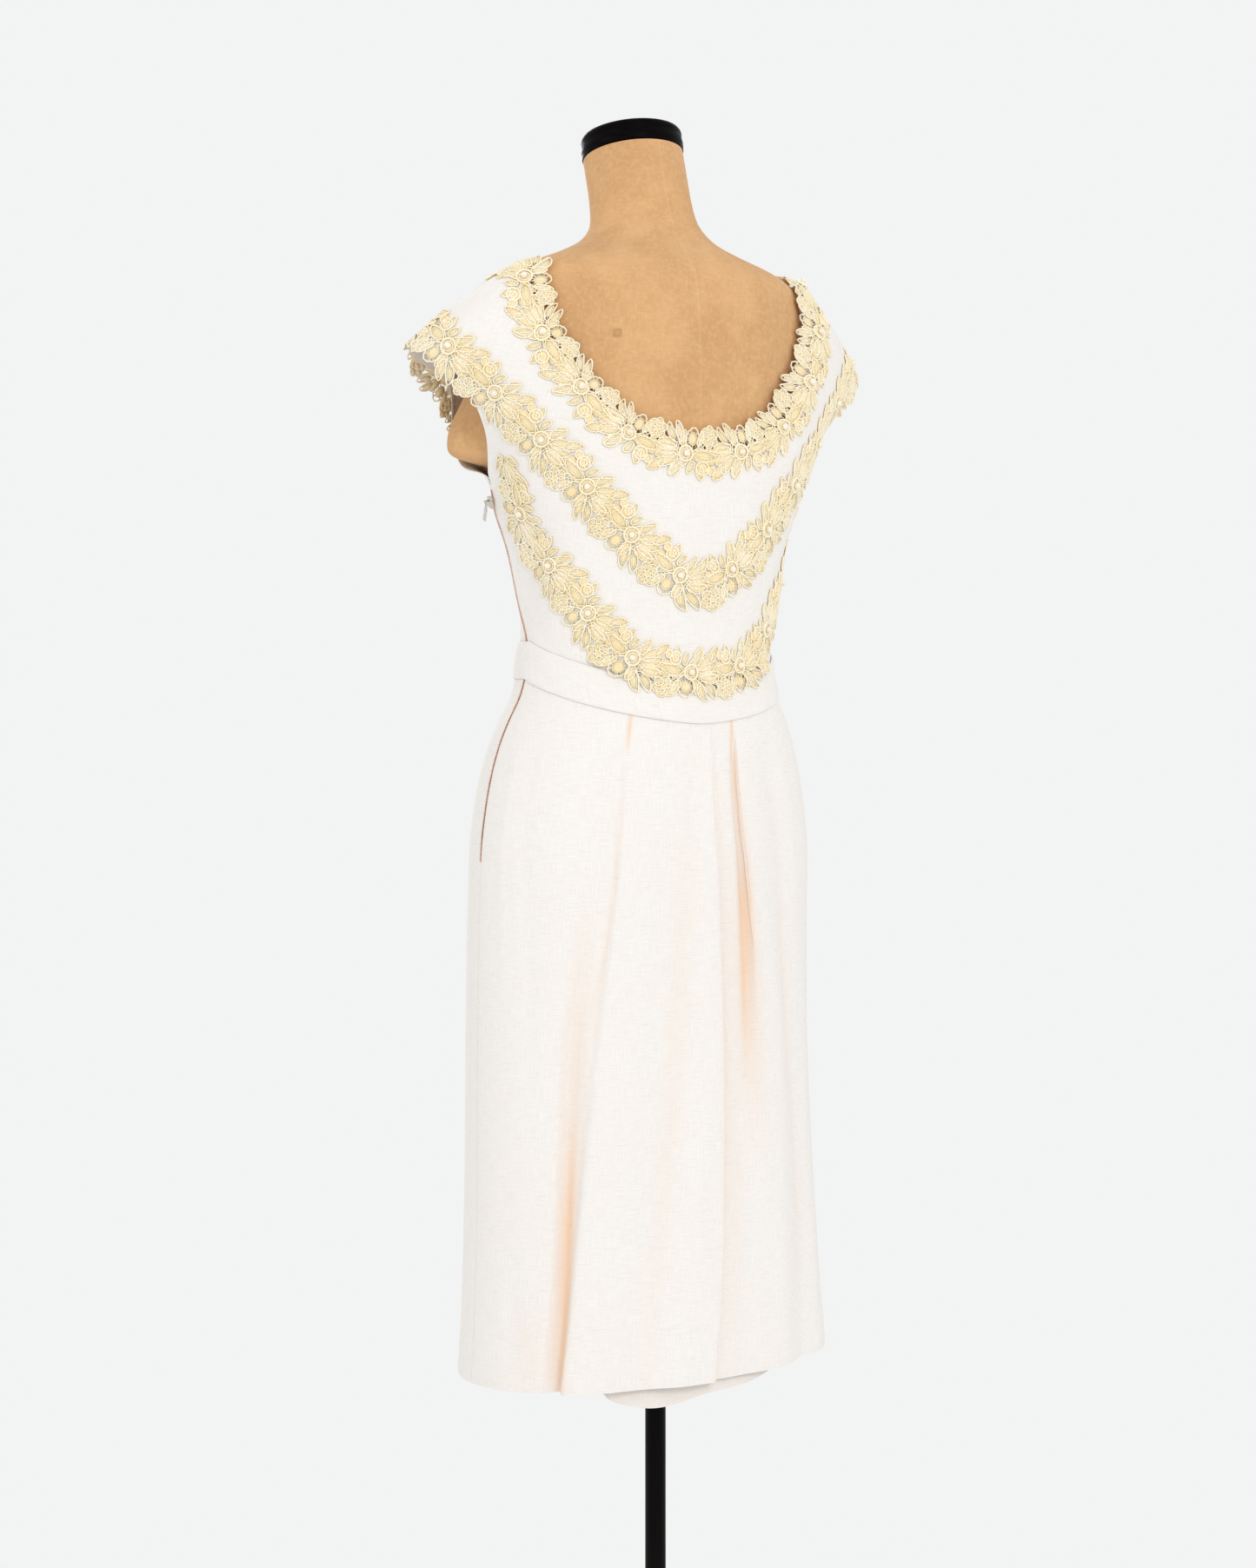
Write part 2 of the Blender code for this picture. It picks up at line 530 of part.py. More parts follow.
def skirt_grids():
    """Outer and inner grids of the back and front, parted at the side seams and the zip."""
    left, right = 0.0, math.pi
    half_seam = 0.5 * SEAM / BODY[0, 1]
    back = skirt_grid(FOLDS, FOLD_SPLITS, left, right - half_seam)
    front = skirt_grid(FRONT_FOLDS, FRONT_SPLITS, right + half_seam, 2 * math.pi)
    for grids, column, way in ((back, 0, 1), (front, -1, -1)):
        for grid in grids:
            zip_part = np.clip((grid[:, column, 2] - ZIP_END_Z) / 0.02, 0, 1)
            gap = 0.5 * (SEAM + (ZIP_GAP - SEAM) * zip_part)
            grid[:, column, 1] += way * gap
    return back, front


def build_skirt(linen):
    """Back panel with its pleats, plain front, and the underlay that hangs behind the pleat."""
    back, front = skirt_grids()
    wall("skirt_back", *back, linen)
    wall("skirt_front", *front, linen)
    build_underlay(linen)


def build_underlay(linen):
    angles = np.radians(np.linspace(55, 118, 9))
    shares = np.array((0, 0.1, 0.25, 0.4, 0.55, 0.7, 0.82, 0.92, 1.0))
    rows_outer, rows_inner = [], []
    for share in shares:
        dip = 0.011 * np.exp(-(((np.degrees(angles) - 72) / 14) ** 2))
        bottom = 0.4605 - dip
        top = belt_bottom(angles) + 0.004
        z = bottom + (top - bottom) * share
        inset = smooth_curve((0.45, 0.80, 0.90, 1.00, 1.065), (0.0105, 0.0105, 0.0082, 0.0062, 0.0026), z)
        points, out = ring(BODY, angles, z)
        rows_outer.append(points - out * inset[:, None])
        rows_inner.append(points - out * (inset + 0.0012)[:, None])
    wall("pleat_underlay", np.array(rows_outer), np.array(rows_inner), linen)


def build_belt(linen):
    angle = np.linspace(0, 2 * math.pi, 44, endpoint=False)
    outer, inner = [], []
    for share, crown in ((0, 0), (0.33, 0.0006), (0.67, 0.0006), (1, 0)):
        z = belt_bottom(angle) + BELT_HEIGHT * share
        points, out = ring(BODY, angle, z)
        inner.append(points + out * BELT_LIFT)
        outer.append(points + out * (BELT_LIFT + LINEN + crown))
    wall("waist_belt", np.array(outer), np.array(inner), linen, closed=True)


def bodice_half(rows, neckline, waist_end, columns, splits):
    """Outer points of the left half of a bodice piece, from the waist seam up to its top edge."""
    levels = []
    for start, share in zip(WAIST_SEAM_ANGLES, (0.5, 1.15)):
        angle = start + (waist_end - start) * np.array(columns)
        height = BELT_HEIGHT * share + WAIST_GAP / 2
        levels.append(ring(BODY, angle, belt_bottom(angle) + height)[0])
    for row in rows:
        levels.append(row_spline(mirrored(row), half_shares(columns)))
    top = []
    shoulder = [share / NECK_SHARE for share in columns if share <= NECK_SHARE + 1e-9]
    for share in shoulder:
        top.append(shoulder_point(share))
    along = [(share - NECK_SHARE) / (1 - NECK_SHARE) for share in columns if share > NECK_SHARE + 1e-9]
    neck, _ = spline(neckline, along)
    levels.append(np.vstack([np.array(top), neck]))
    levels = np.array(levels)
    shares = np.linspace(0, 1, (len(levels) - 1) * splits + 1)
    return np.stack([row_spline(levels[:, j], shares) for j in range(levels.shape[1])], axis=1)


def shoulder_point(share):
    """Point of the shoulder seam, from the cap's tip (0) to the neck point (1), a little crowned."""
    tip, neck = np.array(TIP), np.array(NECK_POINT)
    return tip + (neck - tip) * share + np.array((0, 0, 0.006)) * math.sin(math.pi * share)


def mirrored(row):
    row = [np.array(point, float) for point in row]
    other = [point * np.array((-1, 1, 1)) for point in reversed(row[:-1])]
    return np.array(row + other)


def half_shares(columns):
    return [share / 2 for share in columns]


def whole_grid(half):
    other = half[:, -2::-1].copy()
    other[..., 0] *= -1
    return np.concatenate([half, other], axis=1)


def grid_normals(grid, outward):
    """Normals of a grid of points; outward is a point inside the body."""
    along = np.gradient(grid, axis=1)
    up = np.gradient(grid, axis=0)
    normal = np.cross(along, up)
    normal /= np.maximum(np.linalg.norm(normal, axis=-1, keepdims=True), 1e-12)
    away = grid - np.array(outward)
    flip = np.sign((normal * away).sum(-1).mean())
    return normal * flip


def bodice_grids(columns=HALF_COLUMNS, splits=ROW_SPLITS):
    inside = (0.0, -0.02, 1.25)
    back = bodice_half(BACK_ROWS, BACK_NECKLINE, math.pi / 2, columns, splits)
    front = bodice_half(FRONT_ROWS, FRONT_NECKLINE, -math.pi / 2, columns, splits)
    seam = slice(0, SEAM_LEVELS * splits + 1)
    back[seam, 0] = front[seam, 0] = (back[seam, 0] + front[seam, 0]) / 2
    back, front = whole_grid(back), whole_grid(front)
    back_normal = grid_normals(back, inside)
    front_normal = grid_normals(front, inside)
    share_normals(back_normal, front_normal, columns, splits)
    return back, back_normal, front, front_normal


def share_normals(back, front, columns, splits):
    """Give both pieces one normal along each seam, so that their walls meet in one plane."""
    seam_rows = SEAM_LEVELS * splits + 1
    seam_columns = sum(share <= NECK_SHARE + 1e-9 for share in columns)
    last = back.shape[1] - 1
    pairs = [((i, j), (i, j)) for i in range(seam_rows) for j in (0, last)]
    for j in range(seam_columns):
        pairs += [((-1, j), (-1, j)), ((-1, last - j), (-1, last - j))]
    for a, b in pairs:
        normal = back[a] + front[b]
        normal /= np.linalg.norm(normal)
        back[a] = normal
        front[b] = normal


def part_seams(grid, way, splits, columns):
    """Draw a bodice piece back from its side and shoulder seams by half a seam's gap."""
    out = grid.copy()
    seam_rows = SEAM_LEVELS * splits + 1
    last = grid.shape[1] - 1
    for i in range(seam_rows):
        for j, inward in ((0, 1), (last, last - 1)):
            step = grid[i, inward] - grid[i, j]
            gap = 0.5 * (ZIP_GAP if j == 0 else SEAM)
            out[i, j] += step / np.linalg.norm(step) * gap
    seam_columns = sum(share <= NECK_SHARE + 1e-9 for share in columns)
    for j in list(range(seam_columns)) + [last - j for j in range(seam_columns)]:
        step = np.array((0, way * 1.0, 0))
        out[-1, j] += step * 0.7 * SEAM
    return out


def build_bodice(linen):
    back, back_normal, front, front_normal = bodice_grids()
    back_outer = part_seams(back, 1, ROW_SPLITS, HALF_COLUMNS)
    front_outer = part_seams(front, -1, ROW_SPLITS, HALF_COLUMNS)
    wall("bodice_back", back_outer, back_outer - back_normal * LINEN, linen)
    wall("bodice_front", front_outer, front_outer - front_normal * LINEN, linen)


def zip_rows():
    """Rows up the zip: for each, the seam's inner point, inner points beside it and the normal."""
    skirt_back, skirt_front = skirt_grids()
    back, back_normal, front, front_normal = bodice_grids()
    rows = []
    for i in range(len(SKIRT_LEVELS)):
        rows.append((skirt_back[1][i, 0], skirt_back[1][i, 1],
                     skirt_front[1][i, -1], skirt_front[1][i, -2]))
    for i in range(SEAM_LEVELS * ROW_SPLITS + 1):
        inner = [grid[i, j] - normal[i, j] * LINEN
                 for grid, normal in ((back, back_normal), (front, front_normal)) for j in (0, 1)]
        rows.append(tuple(inner))
    return np.array(rows)


def cut_rows(rows, low, high):
    """The rows between two heights of the seam, with one more at each height."""
    z = rows[:, 0, 2]
    kept = [low, *z[(z > low + 0.002) & (z < high - 0.002)], high]
    flat = rows.reshape(len(rows), -1)
    return np.stack([np.interp(kept, z, column) for column in flat.T], 1).reshape(-1, *rows.shape[1:])


def build_zip_tape(look):
    rows = cut_rows(zip_rows(), ZIP_END_Z, ZIP_TOP_Z)
    half = ZIP_TAPE_WIDTH / 2
    seam = (rows[:, 0] + rows[:, 2]) / 2
    sides = [seam]
    for at in (1, 3):
        reach = rows[:, at] - seam
        sides.append(seam + reach / np.linalg.norm(reach, axis=1, keepdims=True) * half)
    points = np.stack([sides[1], sides[0], sides[2]], 1)
    out = np.cross(points[:, 0] - points[:, 2], np.gradient(seam, axis=0))
    out *= np.sign(out[:, :1]) / np.linalg.norm(out, axis=1, keepdims=True)
    outer = points - out[:, None] * TAPE_GAP
    wall("zip_tape", outer, outer - out[:, None] * ZIP_TAPE, look)


def zip_axes():
    """The slider's place on the seam, and its directions across, along and out of the zip."""
    back, normal, _, _ = bodice_grids()
    at = SLIDER_SHARE * SEAM_LEVELS * ROW_SPLITS
    i = int(at)
    seam = Vector(back[i, 0] * (1 - at + i) + back[i + 1, 0] * (at - i))
    along = Vector(back[i + 1, 0] - back[i, 0]).normalized()
    out = Vector(normal[i, 0])
    out = (out - along * out.dot(along)).normalized()
    return seam, out.cross(along).normalized(), along, out


def block(name, low, high, place, look, helper=True):
    """Box between two corners given across, along and out from place."""
    origin, across, along, out = place
    corners = [(x, y, z) for z in (low[2], high[2]) for y in (low[1], high[1]) for x in (low[0], high[0])]
    points = [origin + across * x + along * y + out * z for x, y, z in corners]
    faces = [(0, 2, 3, 1), (4, 5, 7, 6), (0, 1, 5, 4), (2, 6, 7, 3), (0, 4, 6, 2), (1, 3, 7, 5)]
    return finish_part(name, points, faces, look, helper)


def barrel(name, radius, half, place, look, helper=True, sides=16):
    """Short round bar along the across direction, centred on place."""
    origin, across, along, out = place
    points = []
    for x in (-half, half):
        for k in range(sides):
            angle = 2 * math.pi * k / sides
            turn = along * math.cos(angle) + out * math.sin(angle)
            points.append(origin + across * x + turn * radius)
    faces = [tuple(reversed(range(sides))), tuple(range(sides, 2 * sides))]
    for k in range(sides):
        j = (k + 1) % sides
        faces.append((k, j, sides + j, sides + k))
    return finish_part(name, points, faces, look, helper)


def finish_part(name, points, faces, look, helper):
    points = np.array([tuple(point) for point in points])
    if volume(points, faces) < 0:
        faces = [tuple(reversed(face)) for face in faces]
    made = mesh_object(name, points, faces, look)
    if helper:
        made.hide_render = True
        made.display_type = "WIRE"
    return made


def combine(made, helpers):
    for operation, helper in helpers:
        step = made.modifiers.new(helper.name, "BOOLEAN")
        step.operation = operation
        step.solver = "EXACT"
        step.object = helper


def build_zip_pull(metal, place):
    """Slider with two lugs and a pin, and the pull tab that turns on the pin."""
    seam, across, along, out = place
    wide, long, high = (size / 2 for size in SLIDER_SIZE)
    foot = SLIDER_LIFT
    face = foot + 2 * high
    slider = block("zip_slider", (-wide, -long, foot), (wide, long, face), place, metal, helper=False)
    pin_at = seam + along * (PIN_PLACE * long) + out * (face + PIN_HEIGHT)
    pin_place = (pin_at, across, along, out)
    inner = BARREL_WIDTH / 2 + SEAM
    helpers = []
    for way, name in ((1, "lug_left"), (-1, "lug_right")):
        sides = sorted((way * inner, way * (inner + LUG)))
        low = (sides[0], -LUG_HALF, -PIN_HEIGHT - LUG_SUNK)
        high_corner = (sides[1], LUG_HALF, LUG_TOP)
        helpers.append(("UNION", block(name, low, high_corner, pin_place, metal)))
    helpers.append(("UNION", barrel("pin", PIN_RADIUS, inner + LUG / 2, pin_place, metal)))
    combine(slider, helpers)
    down = Vector((0, 0, -1))
    down = (down - across * down.dot(across)).normalized()
    hang = (Vector((0, 0, 0)), across, -down, down.cross(across))
    pull = barrel("zip_pull", PULL_BARREL, BARREL_WIDTH / 2, hang, metal, helper=False, sides=20)
    half = PULL_THICKNESS / 2
    start, end = PULL_NECK
    narrow, wide = BARREL_WIDTH / 2, PULL_WIDTH / 2
    neck = block("pull_neck", (-narrow, -end, -half), (narrow, -start, half), hang, metal)
    plate = block("pull_plate", (-wide, -PULL_LENGTH, -half), (wide, -PULL_PLATE, half), hang, metal)
    bore = barrel("pull_bore", PULL_BORE, BARREL_WIDTH, hang, metal)
    for helper in (pull, neck, plate, bore):
        helper.location = pin_at
    combine(pull, [("UNION", neck), ("UNION", plate), ("DIFFERENCE", bore)])


def grid_faces(rows, columns, start=0):
    faces = []
    for i in range(rows - 1):
        for j in range(columns - 1):
            a = start + i * columns + j
            faces.append((a, a + 1, a + columns + 1, a + columns))
    return faces


class Carrier:
    """Surface that the lace follows: the bodice, carried on past its open edges."""

    def __init__(self):
        back, back_normal, front, front_normal = bodice_grids()
        points, faces = [], []
        for grid, normal in ((back, back_normal), (front, front_normal)):
            start = len(points)
            points += list(grid.reshape(-1, 3))
            faces += grid_faces(*grid.shape[:2], start)
            self.extend(points, faces, grid, normal)
        self.tree = BVHTree.FromPolygons([Vector(p) for p in points], faces)
        self.walls = [outer_tree(name) for name in ("bodice_back", "bodice_front", "waist_belt")]
        self.form = outer_tree("form_torso", share=1.0)

    def extend(self, points, faces, grid, normal, length=0.040):
        """Add strips past the neckline and both armhole edges; those of the caps turn down."""
        first = sum(share < NECK_SHARE - 1e-9 for share in HALF_COLUMNS)
        neck = slice(first, grid.shape[1] - first)
        armhole = slice(SEAM_LEVELS * ROW_SPLITS, None)
        lines = (
            (grid[-1, neck], normal[-1, neck], grid[-2, neck], 0.0),
            (grid[armhole, 0], normal[armhole, 0], grid[armhole, 1], CAP_DROOP),
            (grid[armhole, -1], normal[armhole, -1], grid[armhole, -2], CAP_DROOP),
        )
        for edge, out, inner, droop in lines:
            across = np.cross(np.gradient(edge, axis=0), out)
            across /= np.linalg.norm(across, axis=1, keepdims=True)
            across *= np.sign((across * (edge - inner)).sum(1, keepdims=True))
            across[:, 2] -= droop * np.clip((edge[:, 2] - CAP_LOW) / 0.030, 0, 1)
            across /= np.linalg.norm(across, axis=1, keepdims=True)
            start = len(points)
            points += list(edge) + list(edge + across * length)
            faces += grid_faces(2, len(edge), start)

    def surface(self, point):
        """Nearest point of the carrier and its outward normal, averaged over a small patch."""
        near, _, _, _ = self.tree.find_nearest(point)
        total = Vector((0, 0, 0))
        for spot, normal, _, distance in self.tree.find_nearest_range(near, NORMAL_REACH):
            if normal.dot(near - BODY_MIDDLE) < 0:
                normal = -normal
            total += normal * (1.05 * NORMAL_REACH - distance)
        return near, total.normalized()

    def need(self, point, clearance):
        """How much further out a point has to be to clear the cloth, the belt and the form."""
        short = 0.0
        for tree, wanted in [(wall_tree, clearance) for wall_tree in self.walls] + [(self.form, 0.0022)]:
            near, normal, _, distance = tree.find_nearest(point, 0.012)
            if near is None:
                continue
            over = (point - near).dot(normal)
            sideways = math.sqrt(max(distance * distance - over * over, 0.0))
            if sideways < 0.0012:
                short = max(short, wanted - over)
        return short


def outer_tree(name, share=0.5):
    """Search tree of a built wall's outer face, which holds the first half of its points."""
    mesh = bpy.data.objects[name].data
    mesh.calc_loop_triangles()
    last = share * len(mesh.vertices)
    faces = [tuple(t.vertices) for t in mesh.loop_triangles if max(t.vertices) < last]
    return BVHTree.FromPolygons([v.co for v in mesh.vertices], faces)


def lace_route(carrier, points, closed):
    """The lace row's middle line in small steps: places, directions, normals and lengths."""
    line, _ = spline(points, np.linspace(0, 1, 601), closed)
    found = [carrier.surface(Vector(point)) for point in line]
    places = np.array([tuple(near) for near, _ in found])
    normals = np.array([tuple(normal) for _, normal in found])
    along = np.gradient(line, axis=0)
    if closed:
        along[0] = along[-1] = line[1] - line[-2]
    along -= normals * (along * normals).sum(1, keepdims=True)
    along /= np.linalg.norm(along, axis=1, keepdims=True)
    length = np.concatenate([[0], np.cumsum(np.linalg.norm(np.diff(places, axis=0), axis=1))])
    return places, along, normals, length


def nearest_length(route, point):
    places, _, _, length = route
    return length[np.argmin(np.linalg.norm(places - np.array(point), axis=1))]


def lace_stations(route, start, end, repeats):
    """Places, directions and normals of the stations between two lengths of a route."""
    shares = np.array([(i + place) / repeats for i in range(repeats) for place in LEAF_PLACES] + [1.0])
    at = start + LACE_END + (end - start - 2 * LACE_END) * shares
    turned = np.array([start, *at[1:-1], end])
    picked = [np.stack([np.interp(where, route[3], column[:, k]) for k in range(3)], 1)
              for where, column in zip((at, turned, turned), route[:3])]
    return [picked[0]] + [rows / np.linalg.norm(rows, axis=1, keepdims=True) for rows in picked[1:]]


def edge_offsets(count, standing, narrow):
    """Distances of a station's points from the middle line, leaf by leaf."""
    leaves = len(LEAF_PLACES)
    inner_edge = STAND_INNER if standing else LEAF_INNER
    offsets = []
    for i in range(count):
        width = narrow(i / (count - 1)) if narrow else 1.0
        low, high = -LEAF_OUTER[i % leaves] * width, inner_edge[i % leaves] * width
        inside = (-LINE_WIDTH, HOLE_LOW, HOLE_HIGH) if standing else (0.4 * low, 0.4 * high)
        offsets.append((low, *inside, high))
    return np.array(offsets)


def mix(first, last, share):
    return first * (1 - share) + last * share


def settle(carrier, points, normals):
    """Raise the grid's points until no face between them comes too near what lies under it."""
    shares = np.linspace(0, 1, 5)
    for _ in range(6):
        rise = np.zeros(points.shape[:2])
        for i in range(points.shape[0] - 1):
            for j in range(points.shape[1] - 1):
                a, b, c, d = points[i, j], points[i, j + 1], points[i + 1, j + 1], points[i + 1, j]
                spots = [mix(mix(a, b, u), mix(d, c, u), v) for u in shares for v in shares]
                spots += [mix(first, last, u) for first, last in ((a, c), (b, d)) for u in shares[1:-1]]
                short = max(carrier.need(Vector(spot), LACE_LIFT) for spot in spots)
                if short > 0:
                    rise[i : i + 2, j : j + 2] = np.maximum(rise[i : i + 2, j : j + 2], short)
        if rise.max() < 1e-5:
            break
        points += normals * rise[..., None]
    return points


def even_out(normals):
    """Blend each station's directions with its neighbours', so that the strip never crosses itself."""
    for _ in range(3):
        beside = np.concatenate([normals[:, :1], normals, normals[:, -1:]], 1)
        normals = (beside[:, :-2] + 2 * beside[:, 1:-1] + beside[:, 2:]) / 4
        normals[1:-1] = (normals[:-2] + 2 * normals[1:-1] + normals[2:]) / 4
        normals /= np.linalg.norm(normals, axis=-1, keepdims=True)
    return normals


def build_lace_row(name, carrier, route, ends, repeats, look, standing=False, narrow=None):
    """One strip of lace: leafy edges, and gaps cut through its standing half."""
    centre, along, normals = lace_stations(route, *ends, repeats)
    across = np.cross(normals, along)
    offsets = edge_offsets(len(centre), standing, narrow)
    bottom = np.empty((*offsets.shape, 3))
    lifted = np.empty((*offsets.shape, 3))
    for i, row in enumerate(offsets):
        for j, offset in enumerate(row):
            spot = centre[i] + across[i] * offset
            if standing and offset > 0:
                bottom[i, j], lifted[i, j] = spot + normals[i] * LACE_LIFT, normals[i]
                continue
            near, normal = carrier.surface(Vector(spot))
            bottom[i, j], lifted[i, j] = near + normal * LACE_LIFT, normal
    lifted = even_out(lifted)
    bottom = settle(carrier, bottom, lifted)
    present = np.ones((len(centre) - 1, offsets.shape[1] - 1), bool)
    if standing:
        present[[i for i in range(len(present)) if i % len(LEAF_PLACES) in NECK_HOLES], 2] = False
    wall(name, bottom + lifted * LACE, bottom, look, present=present)


def build_lace(look):
    carrier = Carrier()
    loops = (
        ("neck", BACK_NECKLINE, FRONT_NECKLINE, (8, 7), True),
        ("mid", MID_BACK, MID_FRONT, (12, 12), False),
    )
    for label, back, front, repeats, standing in loops:
        loop = mirrored(back)[:-1], mirrored(front)[::-1][:-1]
        route = lace_route(carrier, np.vstack(loop), closed=True)
        start, turn, end = 0.0, nearest_length(route, mirrored(back)[-1]), route[3][-1]
        build_lace_row(f"lace_{label}_back", carrier, route, (start, turn), repeats[0], look, standing)
        build_lace_row(f"lace_{label}_front", carrier, route, (turn, end), repeats[1], look, standing)
    for name, points, repeats in (("lace_low_back", LOW_BACK, 10), ("lace_low_front", LOW_FRONT, 6)):
        route = lace_route(carrier, mirrored(points), closed=False)
        build_lace_row(name, carrier, route, (0.0, route[3][-1]), repeats, look, narrow=end_taper)


def end_taper(share):
    """Share of its full width that the lowest row has, from its ends under the arms inward."""
    return min(1.0, 0.45 + 7.0 * min(share, 1 - share))


def main():
    clear_scene()
    canvas = material("form_canvas", (0.62, 0.39, 0.20), 0.75)
    black = material("stand_black", (0.012, 0.011, 0.012), 0.35)
    linen = material("linen", (0.94, 0.91, 0.86), 0.85)
    lace = material("lace", (0.93, 0.78, 0.42), 0.8)
    tape = material("zip_tape", (0.90, 0.87, 0.82), 0.85)
    enamel = material("zip_enamel", (0.88, 0.86, 0.80), 0.35)
    build_form(canvas, black)
    build_skirt(linen)
    build_belt(linen)
    build_bodice(linen)
    build_zip_tape(tape)
    build_zip_pull(enamel, zip_axes())
    build_lace(lace)


main()
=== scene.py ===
"""Cocktail dress of slubby ivory linen with three rows of yellow guipure lace, on a dress form.

Metres, +Z up. The dress faces -Y and its back is +Y. The wearer's left, where the zip is, is +X.
"""

import math

import bpy
import numpy as np
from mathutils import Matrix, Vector
from mathutils.bvhtree import BVHTree


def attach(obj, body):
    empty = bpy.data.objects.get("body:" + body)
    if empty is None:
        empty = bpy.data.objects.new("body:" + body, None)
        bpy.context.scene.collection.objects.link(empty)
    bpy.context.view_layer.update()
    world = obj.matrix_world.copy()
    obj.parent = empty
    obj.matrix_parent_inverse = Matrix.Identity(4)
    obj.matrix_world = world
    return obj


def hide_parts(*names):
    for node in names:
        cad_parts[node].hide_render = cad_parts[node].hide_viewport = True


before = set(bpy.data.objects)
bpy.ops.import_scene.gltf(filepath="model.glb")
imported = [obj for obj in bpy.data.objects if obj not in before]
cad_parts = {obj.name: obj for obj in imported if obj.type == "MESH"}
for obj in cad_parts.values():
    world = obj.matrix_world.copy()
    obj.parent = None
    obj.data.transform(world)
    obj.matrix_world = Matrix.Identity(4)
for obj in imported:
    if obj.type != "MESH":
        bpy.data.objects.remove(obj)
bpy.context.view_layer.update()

# Sizes shared with the solids
LINEN = 0.0011  # wall of the shown cloth, under the outer face of its solid
SEAM = 0.0003
ZIP_GAP = 0.0026
BELT_LIFT = 0.0006
BELT_HEIGHT = 0.034
WAIST_GAP = 0.0009
LACE_LIFT = 0.0005
HEM_Z = 0.4673
HEM_TILT = (0.0035, 0.0060)  # lift all round; fall to the left and rise to the right
BELT_LOW_Z = 1.0560  # the belt's lower edge at the centre back
BELT_DIP = (0.0405, 0.75)  # how much higher it is at the sides and in front, and how sharply it rises
POLE_RADIUS = 0.0095
BASE_RADIUS = 0.170
BASE_HEIGHT = 0.012
FORM_BOTTOM_Z = 0.790
NECK_TOP_Z = 1.583
FORM_CLEAR = 0.0024
NECK_TILT = math.radians(12)
CAP_HEIGHT = 0.022
CAP_RADIUS = 0.0475

# Cloth below the bust: z, half width, centre y, depth to the back, depth to the front
BODY = np.array([
    (0.450, 0.1802, -0.0200, 0.1275, 0.1295),
    (0.540, 0.1745, -0.0225, 0.1235, 0.1270),
    (0.620, 0.1712, -0.0250, 0.1200, 0.1260),
    (0.700, 0.1690, -0.0280, 0.1185, 0.1250),
    (0.780, 0.1678, -0.0300, 0.1170, 0.1250),
    (0.860, 0.1672, -0.0290, 0.1160, 0.1255),
    (0.940, 0.1662, -0.0262, 0.1150, 0.1258),
    (0.980, 0.1618, -0.0258, 0.1145, 0.1235),
    (1.010, 0.1562, -0.0250, 0.1120, 0.1190),
    (1.040, 0.1480, -0.0230, 0.1075, 0.1120),
    (1.060, 0.1400, -0.0210, 0.1030, 0.1060),
    (1.080, 0.1305, -0.0195, 0.0985, 0.1010),
    (1.095, 0.1262, -0.0190, 0.0955, 0.0985),
    (1.115, 0.1232, -0.0180, 0.0935, 0.0975),
    (1.135, 0.1220, -0.0150, 0.0925, 0.0980),
    (1.165, 0.1255, -0.0140, 0.0925, 0.1010),
])

# Form, bottom to neck: z, half width, centre y, depth to the back, depth to the front
FORM = np.array([
    (0.790, 0.1420, -0.0280, 0.0900, 0.1000),
    (0.802, 0.1510, -0.0280, 0.0980, 0.1080),
    (0.860, 0.1555, -0.0280, 0.1010, 0.1140),
    (0.940, 0.1545, -0.0262, 0.1000, 0.1140),
    (1.000, 0.1460, -0.0255, 0.0970, 0.1090),
    (1.040, 0.1350, -0.0230, 0.0920, 0.1010),
    (1.070, 0.1225, -0.0200, 0.0860, 0.0910),
    (1.100, 0.1150, -0.0185, 0.0820, 0.0860),
    (1.130, 0.1140, -0.0160, 0.0810, 0.0870),
    (1.165, 0.1175, -0.0140, 0.0830, 0.0920),
    (1.212, 0.1265, -0.0165, 0.0900, 0.0960),
    (1.250, 0.1380, -0.0200, 0.0985, 0.0890),
    (1.277, 0.1465, -0.0260, 0.1065, 0.0830),
    (1.300, 0.1490, -0.0320, 0.1140, 0.0750),
    (1.330, 0.1510, -0.0350, 0.1170, 0.0650),
    (1.360, 0.1550, -0.0330, 0.1150, 0.0550),
    (1.400, 0.1640, -0.0240, 0.1040, 0.0490),
    (1.430, 0.1590, -0.0150, 0.0930, 0.0480),
    (1.450, 0.1510, -0.0080, 0.0830, 0.0460),
    (1.462, 0.1440, -0.0050, 0.0770, 0.0420),
    (1.474, 0.1240, -0.0060, 0.0700, 0.0410),
    (1.486, 0.0920, -0.0100, 0.0620, 0.0400),
    (1.500, 0.0640, -0.0170, 0.0550, 0.0410),
    (1.520, 0.0490, -0.0240, 0.0500, 0.0460),
    (1.550, 0.0465, -0.0320, 0.0475, 0.0465),
    (1.583, 0.0464, -0.0420, 0.0464, 0.0464),
])
STUB = {  # rounded end of the form's shoulder, which shows in the armhole
    "angle": math.radians(-20),
    "spread": math.radians(26),
    "z": 1.308,
    "below": 0.016,
    "above": 0.058,
    "reach": 0.041,
    "way": (0.97, -0.24),  # which it points, aside and back to front
    "hand_set": 0.024,  # height above and below it that draw_in leaves alone
}

STUB_LEVELS = (1.264, 1.277, 1.286, 1.292, 1.299, 1.308, 1.322, 1.345, 1.370, 1.400)

